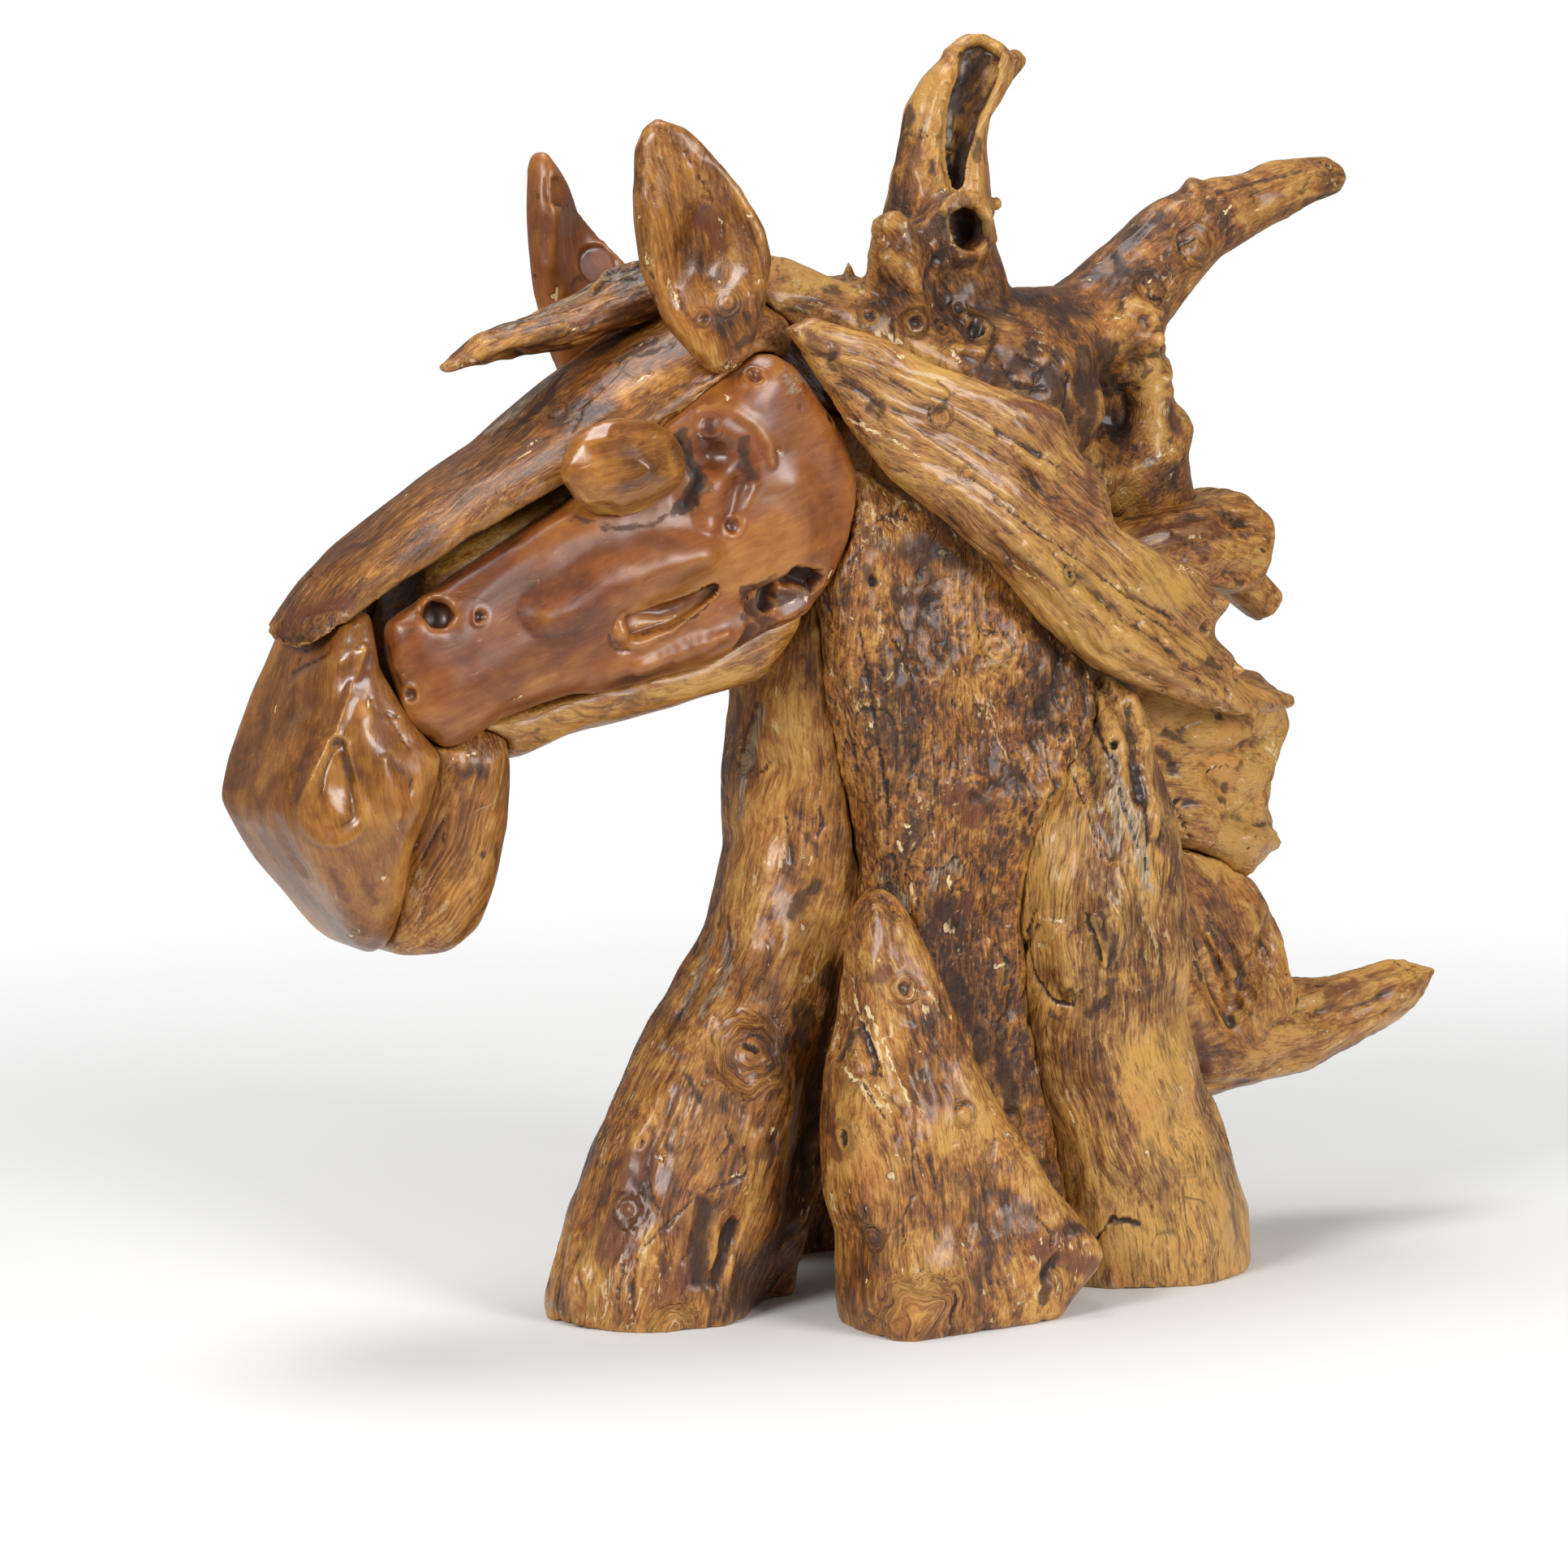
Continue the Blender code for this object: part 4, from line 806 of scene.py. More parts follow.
forelock = {
    "voxel": 2.0, "rounds": 6, "seed": 21,
    "guides": ["-229 0 428, -203 0 438, -178 0 444, -150 0 454, -122 0 464, -92 0 471, -70 0 470"],
    "lumps": [(14, 0.8)], "fibres": [(7, 60, 0.9), (3.5, 40, 0.4)],
    "grooves": [(7, 70, 1.2)],
    "strewn": [("crack", 6, 0.9, 1.6, 9, 1.2), ("chip", 8, 0.7, 1.6, 4, 0.4), ("dark", 6, 2, 6, 3, 0.9)],
    "forms": rowsIn("""
        fold 4 2.5 -150 0 462 12 8 7 8 -9 3
    """),
    "marks": rowsIn("""
        grey 6.6 1.2 -148 7 464 -14 -3 -6 -32 -5 -10, grey 5 1.2 -132 -4 470 -12 7 -4,
        red 5 1.2 -169 -15 450 18 -1 4 16 0 4, dark 2.3 1 -189 -12 441 16 -3 6,
        crack 1.5 1.5 -148 8 464 7 -9 3 7 -6 0, chip 1.7 .4 -216 -7 434 7 3 -1, chip 1.3 .4 -206 -4 434 8 -6 5,
        chip 1.3 .4 -219 -3 430 -1 -4 3, dark 2.6 1 -140 -16 460 6 1 3, crack 1.3 1 -202 -1 446 10 -3 2 16 9 6
    """),
    "wood": {"coat": 0.2, "shift": -0.2, "cracks": 1.0},
}
carved("forelock", forelock)

maneSlabLeft = {
    "voxel": 2.0, "rounds": 4, "seed": 22,
    "guides": ["-89 -60 447, 14 -75 395, 100 -72 325, 196 -56 262"],
    "lumps": [(28, 0.7)], "fibres": [(9, 130, 0.6), (4, 80, 0.5)],
    "grooves": [(8, 110, 0.8)],
    "strewn": [
        ("crack", 5, 1.4, 1.8, 12, 0.7), ("pale", 18, 1.2, 2.4, 7, 1.0), ("dark", 6, 2, 5, 4, 0.5),
        ("shade", 6, 8, 18, 3, 0.15), ("light", 6, 8, 18, 3, 0.15),
    ],
    "forms": rowsIn("""
        dip 5.8 2 -67 -65 429 16 -6 -13 5 -1 -11, fold 5.1 1.8 -64 -68 434 23 -6 -8 24 -5 -9,
        dip 5.1 2 10 -85 398 19 -2 -10, fold 5.1 2 17 -86 390 24 -1 -13, fold 5.8 2 -70 -65 438 -9 5 5,
        fold 6.3 2 10 -87 353 24 -3 -15 28 3 -24, dip 6.7 2 35 -91 342 25 2 -20 23 1 -12,
        fold 5.6 2 71 -87 307 32 5 -21 33 8 -14, dip 4.8 2 71 -86 296 33 8 -18,
        fold 4.8 2 102 -83 299 27 6 -19 30 10 -18, crest 4.8 6 138 -74 314, dip 4.8 6 130 -75 304,
        crest 4.4 5 151 -69 282, dip 3.7 4.5 139 -75 273, crest 3.7 4 163 -66 261,
        fold 3 1.2 47 -89 328 32 2 -22 37 7 -21 34 10 -18, fold 2.6 1 37 -90 343 32 1 -20 40 12 -16,
        fold 2.7 1.2 -59 -68 418 24 -8 -15 28 -5 -19 24 -5 -17, fold 2.4 1 -35 -76 421 26 -5 -14 30 -6 -17,
        fold 12.2 3.2 17 -88 349 27 1 -24 25 1 -20 40 6 -25 43 12 -16
    """),
    "marks": rowsIn("""
        dark 4.1 1.2 -76 -55 436 10 -12 -2, red 8.5 1.1 -76 -62 441 7 -4 -5, red 6.8 1.1 18 -84 411 20 -1 -7,
        dark 5.1 1.1 -51 -71 415 6 -2 -5, knot 3.7 .5 -18 -79 407, dark 4.4 .9 -21 -78 409 4 -1 3,
        pale 2 1.3 -56 -61 407 3 -7 -4 8 -4 -4, pale 1.5 1.3 -40 -75 397 5 -1 -4 7 -1 -4,
        pale 1.5 1.2 12 -85 395 13 -2 -7, pale 1.5 1 10 -83 415 1 -1 -4, pale 1.4 1 2 -83 408 3 -1 -1,
        knot 2.7 .4 -6 -82 381, knot 2.4 .4 41 -87 380, light 10.2 .2 0 -83 400 37 -4 -17,
        light 10.2 .2 -45 -73 410 21 -5 -22, shade 6.8 .3 -62 -65 418 14 -2 -22, socket 2.6 1.4 44 -90 334,
        dark 3.7 1.1 44 -90 334, pale 1.5 1.3 15 -82 343 13 -4 -9, pale 1.5 1.2 64 -88 329 21 3 -5,
        pale 1.3 1.2 88 -84 287 8 2 -4, pale 2.2 1.1 136 -73 270 27 7 -9, dark 3.7 1.1 129 -78 288 8 2 -3,
        chip 1.9 .5 110 -73 274 0 0 0, shade 9.3 .2 -22 -67 369 20 -4 -16,
        light 13 .2 -6 -84 372 56 -1 -61 45 1 -21, light 11.1 .2 94 -84 331 21 4 -13, red 6.7 .8 55 -86 380 4 0 -11,
        pale 2.6 .8 -1 -71 353 26 -6 -25 26 -7 -20 33 1 -21, light 7.4 .22 22 -91 350 25 2 -22 26 2 -20 40 7 -24,
        crack 1.7 1.2 6 -85 368 20 -4 -13 22 1 -14, crack 1.5 1 61 -87 333 23 1 -18 25 6 -13
    """),
    "wood": {
        "fine": 0.55, "band": 0.35, "crumb": 0.3, "shift": 0.12, "middle": (0.20, 0.075, 0.017),
        "light": (0.40, 0.178, 0.044), "flecks": 0.3, "cracks": 0.5, "coat": 0.45, "roughness": 0.36,
        "fibreBump": 0.22, "crumbBump": 0.25,
    },
}
carved("mane_slab_left", maneSlabLeft)

maneSlabRight = {
    **maneSlabLeft, "seed": 23, "voxel": 3.0, "forms": [], "marks": [],
    "guides": ["-86 58 445, 25 75 395, 100 72 325, 172 56 262"],
}
carved("mane_slab_right", maneSlabRight)

wedgeRoot = {
    "voxel": 2.2, "rounds": 8, "seed": 24,
    "guides": ["-20 -100 -10, -30 -95 90, -48 -80 199"],
    "lumps": [(26, 0.9), (11, 0.35)], "fibres": [(10, 110, 0.35)], "pits": [(9, 0.8, 0.3)],
    "grooves": [(11, 120, 0.9)],
    "strewn": [
        ("crack", 5, 1.4, 1.8, 7, 0.8), ("pale", 34, 1.0, 2.2, 4, 1.1), ("dark", 18, 1.5, 7, 2, 0.9),
        ("knot", 2, 4, 6, 0, 0.6), ("light", 8, 8, 18, 2, 0.2), ("shade", 8, 6, 14, 2, 0.2),
    ],
    "forms": rowsIn("""
        fold 9 2 -65 -112 97 -8 12 17, dip 4.5 2.5 -68 -91 137 1 -12 -17, fold 9 1.8 28 -123 39 11 0 -10,
        dip 6 2.5 10 -125 22 6 -1 7
    """),
    "marks": rowsIn("""
        pale 3.3 1.3 -66 -84 149 -1 -9 -12 2 -9 -12, pale 2.4 1.3 -65 -93 147 4 -10 -19 8 -6 -22,
        pale 2.1 1.4 -68 -105 114 4 -6 -12, pale 2.7 1.4 -74 -89 119 1 -11 -5 5 -9 -9,
        crack 1.5 1.5 -68 -89 141 2 -7 -11 1 -9 -12, crack 1.3 1.5 -72 -100 114 2 -8 -8 5 -4 -10,
        dark 3 1 -67 -94 133 0 -7 -11, socket 4.5 1.2 -49 -100 155, chip 1.5 .5 -51 -99 156 12 -2 -4,
        grey 4.5 1.2 -44 -106 116, dark 3.6 1.4 -43 -106 117, dark 5.4 1.8 -78 -93 88, socket 5.1 1.6 -78 -94 89,
        chip 1.5 .5 -77 -96 95 0 -6 0, chip 2.7 .7 -67 -115 75, red 7.5 1 -77 -82 94 -1 -5 -14,
        red 7.5 .9 -63 -92 158 5 -4 4, dark 3 .8 -65 -84 157 0 -4 -3, red 9 .5 -52 -94 175 10 -5 -19,
        light 19.5 .22 -58 -126 20 0 3 21, rings 27 1 -58 -126 8, dark 6.9 1.3 23 -123 42 9 1 -4,
        dark 6 1.3 11 -126 26 -1 1 -15, red 9 1.1 25 -123 42 -19 -2 -8 28 0 -10,
        crack 1.3 1.5 8 -122 48 6 -2 -7 -3 -2 -12, light 10.5 .3 -7 -117 67 22 0 -7,
        light 9 .3 -50 -112 99 14 -3 -14, chip 1.5 .5 -76 -94 62 -2 -6 8, chip 1.8 .5 -71 -82 43 -1 -1 3,
        chip 1.2 .5 -71 -94 20, chip 1.1 .5 -71 -103 15 0 -2 -2, chip 1.1 .5 -68 -114 8,
        chip 1.3 .5 -34 -125 4 2 2 -4, chip 1.8 .4 -26 -126 20 5 0 -2, dark 3.9 .8 -28 -126 25,
        crack .9 1 -62 -120 44 -1 1 11 6 1 10, pale 2.1 .9 -64 -115 83 8 -1 -3 5 -1 -7,
        chip 1.2 .4 -34 -123 42 3 -1 -2, chip 1.8 .5 -32 -115 86, pale 1.8 .9 -58 -93 170 -3 9 5,
        chip .9 .5 -3 -111 86 4 0 -2
    """),
    "wood": {
        "shift": 0.1, "figure": 0.16, "fine": 0.5, "cracks": 0.8, "flecks": 0.7, "mottle": 0.5, "patch": 0.65,
        "crumb": 0.45,
    },
}
carved("wedge_root", wedgeRoot)

rearRoot = {
    "voxel": 2.6, "rounds": 10, "seed": 25,
    "guides": ["112 -58 -10, 102 -60 40, 90 -62 80, 80 -64 120, 75 -66 160, 74 -66 200, 82 -62 235, 88 -56 278"],
    "lumps": [(26, 1.2), (12, 0.5)], "fibres": [(9, 90, 0.6), (5, 60, 0.3)],
    "grooves": [(11, 120, 0.7)],
    "strewn": [
        ("crack", 4, 1.4, 1.8, 9, 0.8), ("pale", 12, 1.2, 2.2, 5, 0.9), ("dark", 8, 2, 6, 3, 0.7),
        ("shade", 8, 12, 26, 2, 0.18), ("light", 8, 12, 26, 2, 0.18),
    ],
    "forms": rowsIn("""
        dip 4.5 2 35 -77 173 1 9 -12, fold 3.9 2 53 -98 177 3 -4 -11 1 0 -10,
        fold 6.3 3 80 -61 274 -2 -19 -20 -5 -10 -17, fold 5.6 3 93 -79 257 -6 -11 -21 -1 -8 -23,
        dip 6.3 3 88 -75 268 -6 -11 -21 -2 -8 -17, dip 6.3 2.5 67 -70 254 -7 -17 -24 4 -11 -24,
        fold 13.8 4.2 42 -86 171 4 -2 -23
    """),
    # The grey rows near the top, from 69 -90 234, 74 -96 219 and 74 -82 249, with the light row on the same line as
    # the last, paint a silvery sheen on the fibres there
    "marks": rowsIn("""
        chip .9 .4 36 -78 175 5 -8 2 1 -1 -5, chip .9 .4 36 -78 163 6 -8 6,
        crack 1.8 1.8 51 -95 180 3 -5 -10 1 0 -9 4 -2 -6, dark 3.9 1.5 52 -97 177 4 -6 -10 3 1 -11,
        dark 5.1 1.2 63 -100 148 -4 2 -10 -6 4 -6, dark 3.9 1 42 -80 132 3 -2 -3, dark 3 .9 77 -100 150 6 1 -5,
        crack 1.1 1 83 -99 134 2 0 -5, dark 9 1.3 49 -44 104 14 10 -21 -11 -11 -16, dark 6 1 56 -31 121 -5 -14 -29,
        dark 3.6 1.2 72 -88 33 9 -5 -1, crack 1.5 1.8 67 -83 25 5 -5 10 10 -6 -4, grey 6 .7 70 -83 6 4 -2 -6,
        chip 1.2 .4 52 -80 86 3 -1 -6, dark 2.4 .8 80 -94 52 2 -1 -5, chip .9 .4 84 -97 66 1 0 -5,
        shade 9 .25 50 -64 71 7 -1 -31, bore 2.6 3.5 76 -80 253, bore 1.9 2.5 108 -83 218,
        crack 1.7 1.5 77 -58 270 -5 -14 -13 1 -13 -13, crack 1.5 1.5 84 -87 243 -1 -9 -21 -3 -3 -25,
        crack 1.5 1.5 68 -49 255 -11 -27 -18 0 -12 -14 1 -7 -17, grey 5.6 1.1 69 -90 234 0 -4 -11 -4 -3 -12,
        grey 4.4 1.1 74 -96 219 3 -3 -16, dark 4.8 1.2 76 -66 267 -5 -5 -10, dark 4.4 1.1 64 -55 252 -5 -1 -7,
        light 9.3 .2 77 -98 212 7 -1 -23, shade 9.3 .3 94 -97 211 5 1 -23,
        crack 1.5 1.8 35 -77 179 -1 5 -11 2 -1 -17 6 -8 -14 6 -7 -1,
        dark 2.4 .9 35 -77 179 -1 5 -11 2 -1 -17 6 -8 -14 6 -7 -1 4 -6 9, dark 3.6 1.2 55 -101 179 3 -5 -10 5 6 -15,
        grey 6.3 1.7 74 -82 249 -2 -11 -19 5 -5 -18 5 -1 -21, light 6.3 .4 74 -82 249 -2 -11 -19 5 -5 -18 5 -1 -21,
        crest 1.7 1.4 73 -80 251 -4 -11 -19 3 -6 -20 5 -2 -22, crest 1.5 1.2 76 -84 247 -1 -10 -19 6 -4 -20 6 0 -19,
        crack 1.5 1.2 72 -86 242 0 -8 -15 5 -4 -19
    """),
    "wood": {
        # the lighter grey and ash here paint that silvery sheen
        "grey": (0.34, 0.26, 0.18), "ashSheen": (0.70, 0.62, 0.50), "crumb": 0.5, "fine": 0.6, "figure": 0.4,
        "fibreBump": 0.2, "shift": 0.16, "patch": 0.7, "flecks": 0.4, "cracks": 0.9,
        "light": (0.31, 0.155, 0.038),
    },
}
carved("rear_root", rearRoot)

neckLeft = {
    "voxel": 2.6, "rounds": 10, "seed": 26,
    "guides": ["10 -50 -10, 14 -55 180, 20 -50 380"],
    "lumps": [(34, 1.2), (14, 0.6)], "fibres": [(9, 16, 0.7), (5, 11, 0.4)], "flakes": [(30, 1.3), (13, 0.5)],
    "grooves": [(12, 34, 1.0)],
    "strewn": [
        ("crack", 12, 1.4, 2.0, 5, 1.0), ("pale", 50, 1.4, 3.2, 2, 1.1), ("dark", 60, 2, 10, 1, 1.0),
        ("knot", 4, 4, 7, 0, 0.7), ("red", 16, 6, 16, 1, 0.8), ("light", 16, 8, 22, 1, 0.24),
        ("shade", 12, 8, 20, 1, 0.2),
    ],
    "forms": rowsIn("""
        dip 7.4 2 44 -69 270 10 3 25, fold 11.1 1.5 7 -65 305 -19 -2 -17, fold 11.1 2 42 -75 232,
        dip 5.6 1.5 15 -74 238 -13 0 -5
    """),
    "marks": rowsIn("""
        dark 13 .9 -41 -57 351 15 -2 -4 19 0 -3 16 -2 -11, dark 6.3 1 -44 -60 338 2 -1 -8, bore 3 2.5 -42 -61 333,
        chip 1.9 .4 -24 -59 345 4 0 -4, chip 2.2 .4 -7 -59 344 7 0 0, chip 3.3 .5 -36 -54 360 16 0 1,
        dark 5.6 1.3 -16 -61 324 5 0 1, socket 3.7 1 -13 -61 324, light 16.7 .22 -9 -63 309 -11 -4 -21 39 0 9,
        light 13 .22 5 -68 280 -18 -2 -17, light 11.1 .28 40 -75 229,
        crack 1.3 1 27 -74 237 4 -1 -13 47 44 -13 4 0 2, light 11.1 .22 19 -67 299 8 -1 -13, knot 5.6 .6 20 -67 299,
        dark 8.1 1 44 -69 274 4 -1 -14, dark 6.7 1 42 -64 310 5 -3 -13 8 -1 -13,
        red 11.1 1.1 -7 -73 235 19 -1 -3 -10 0 -5, dark 5.6 1 4 -74 235 8 0 -6, pale 2.2 .9 -30 -70 222 9 -3 5,
        pale 1.9 1 24 -73 201 40 40 -8 15 4 -1, dark 7.4 1.2 30 -74 213 36 42 -12, grey 9.3 1.2 -35 -64 194 5 -3 -5,
        grey 7.4 1.1 -17 -74 198 10 1 3, dark 4.1 1.1 -36 -63 198 3 -1 -11, pale 2.2 1 -28 -70 198 3 -1 -9,
        dark 11.1 .8 -39 -66 246 12 -5 10 -14 5 8, red 9.3 .6 31 -69 260 -27 -1 -9,
        crack 1.5 1.2 -48 -60 311 3 -3 -29 9 -3 -54, pale 2.6 .9 -31 -69 211 -5 3 9,
        dark 7.5 1.4 -6 -71 178 -8 -1 7, red 9 1.2 -12 -71 179 12 0 5, chip 2.4 .5 -6 -69 172 3 -1 3,
        dark 9 1.2 -5 -68 152 8 -2 -19 9 -2 -21, chip 1.3 .4 0 -68 164 -3 0 -4, chip 1.2 .4 16 -68 155 9 -1 0,
        dark 7.5 1.2 19 -70 125 3 -2 -20 4 0 -18, light 6 .3 21 -69 152 -1 1 -6,
        crack 1.2 1.2 17 -69 167 8 0 -11 -2 1 -11
    """),
    "wood": {
        "stretch": 0.85, "coat": 0.24, "shift": -0.15, "band": 0.2, "figure": 0.1, "fine": 0.5, "mottle": 0.7,
        "flecks": 0.6, "cracks": 1.0, "patch": 0.75, "crumb": 0.6,
    },
}
carved("neck_left", neckLeft)

neckRight = {
    "voxel": 3.6, "rounds": 10, "seed": 27,
    "guides": ["4 88 -10, 8 74 60, 10 50 190, -4 43 366"],
    "lumps": [(34, 1.5), (14, 0.6)], "fibres": [(10, 110, 0.7), (4.5, 60, 0.35)],
    "grooves": [(10, 110, 1.2), (6, 70, 0.7)],
    "strewn": [
        ("crack", 20, 0.9, 2.0, 10, 1.3), ("pale", 40, 1.0, 2.4, 5, 1.1), ("dark", 40, 2, 12, 3, 1.0),
        ("bore", 4, 1.5, 3, 2, 3.0), ("knot", 8, 5, 11, 0, 1.2), ("red", 12, 8, 20, 2, 0.8),
        ("light", 10, 12, 26, 2, 0.22), ("grey", 6, 4, 9, 5, 1.0),
    ],
    "forms": [],
    "marks": [],
    "wood": {"fine": 0.25, "mottle": 0.5, "flecks": 0.4, "cracks": 0.9},
}
carved("neck_right", neckRight)

neckFront = {
    "voxel": 2.9, "rounds": 10, "seed": 28,
    "guides": [
        "-120 -12 -10, -109 -10 42, -97 -8 76, -84 -4 108, -69 -2 139, -57 0 163, -46 0 190, -40 0 230, "
        "-38 0 278, -36 0 320, -28 0 360, -16 0 392",
    ],
    "lumps": [(32, 1.2), (13, 0.5)], "fibres": [(9, 110, 0.6), (4, 60, 0.35)],
    "grooves": [(10, 120, 1.2), (6, 70, 0.7)],
    "strewn": [
        ("crack", 18, 0.9, 1.8, 9, 1.2), ("pale", 44, 1.0, 2.4, 4, 1.1), ("dark", 36, 2, 9, 3, 1.0),
        ("chip", 14, 1.1, 2.4, 2, 0.7), ("knot", 7, 4, 8, 0, 1.0), ("red", 10, 6, 16, 2, 0.8),
        ("light", 10, 10, 22, 2, 0.2),
    ],
    "forms": rowsIn("""
        fold 2.7 1.5 -119 -53 44 -4 -2 -16
    """),
    # The long upright dark row from -52 -40 153 paints the shade in the groove between this piece and the wedge in
    # front of it
    "marks": rowsIn("""
        burn 7.6 2.2 -125 -52 56 -2 -2 -13 -4 0 -20, burn 5.8 2.2 -111 -50 45 -4 -3 -11 -7 -2 -12,
        dark 7.5 1 -125 -52 55 -3 -2 -19 0 -1 -15, chip 1.3 .5 -124 -55 31, knot 11.2 1.6 -96 -44 121,
        bore 2.4 1.6 -97 -42 124 3 -2 -2, chip 1.3 .4 -100 -47 108 3 -3 -1,
        grey 6 1.3 -86 -11 169 -11 -9 -18 -11 -1 -14, grey 5.1 1.2 -88 3 167 -11 -7 -13 -13 -6 -18,
        grey 4.5 1 -121 -25 118 -2 14 4, dark 2.7 1.2 -90 11 163 -5 -2 -5, dark 2.1 1 -85 -5 177 -3 -8 -13,
        chip 1.2 .4 -79 -29 168 -3 -7 -12, chip 1.3 .4 -72 -38 168, chip 1.3 .4 -65 -38 176 3 -1 -3,
        chip 1.2 .4 -61 -41 162, chip 1.2 .4 -57 -41 167 1 0 -3, chip 1.8 .5 -86 -39 144 3 0 2,
        chip 1.1 .4 -72 -43 142 0 -1 -5, chip 1.5 .5 -84 -41 137 5 -4 -7, chip 1.2 .4 -56 -40 127,
        chip 1.1 .4 -90 -52 88 0 0 -4, chip 1.1 .4 -88 -52 75 19 15 -4, chip 1.2 .4 -113 -52 69 8 -1 -1,
        chip 1.3 .4 -105 -53 66 0 -1 -7, chip 1.2 .4 -61 -37 48 -1 -1 -7,
        crack 1.2 1.2 -132 -50 58 -10 3 -11 -10 4 -9, crack 1.2 1.2 -123 -51 63 10 -1 2 8 -1 3,
        crack 1.2 1.4 -164 -41 16 4 2 14, crack 1.2 1.4 -155 -43 33 -3 -1 -11 0 -2 -13,
        crack 1.1 1.2 -111 -48 91 1 -2 -8 -7 0 -7, crack 1.1 1 -145 -34 71 0 -7 -13 2 -5 -8,
        dark 4.5 1 -148 -34 64 2 -5 -5, red 5.4 1 -148 -37 58 0 -5 -7, knot 5.1 .8 -153 -33 54,
        dark 3.9 .9 -122 -30 110 2 -10 -9, dark 3.3 .9 -136 -36 86 1 -4 -6, dark 6 .8 -147 -35 63 -1 3 4,
        dark 7.5 1.1 -73 -44 136 9 0 -12 -3 0 16, dark 10.5 1.1 -52 -40 153 -1 6 -46 -7 0 -30 -3 -2 -22,
        dark 7.5 .8 -83 -52 80 -14 -1 -4, light 7.5 .3 -148 -51 7 19 -4 1 10 0 4, grey 4.5 .9 -176 2 7 -1 -10 -2,
        dark 3 1 -175 -24 1 2 -5 -1, light 9 .22 -104 -54 56 11 2 -11, light 7.5 .22 -149 -44 44 -8 1 -14,
        shade 9 .2 -159 -17 55 6 -4 15, dark 4.8 1.2 -36 -27 245 5 0 -15, red 7.4 .9 -40 -27 260 8 -1 -38,
        grey 5.6 1.3 -72 -13 271 -4 7 -22 -1 6 -27, dark 3 1 -73 -11 275 -4 10 -30, pale 2.6 1 -69 -19 283 1 -2 -6,
        light 11.1 .2 -63 -27 272 1 -2 -22, dark 3.7 .9 -56 -36 207 -4 3 9, crack 1.3 1 -66 -24 225 0 -4 -20
    """),
    "wood": {
        "hollow": 0.4, "fine": 0.4, "mottle": 0.45, "flecks": 0.6, "cracks": 0.8, "patch": 0.65, "shift": -0.05,
    },
}
carved("neck_front", neckFront)

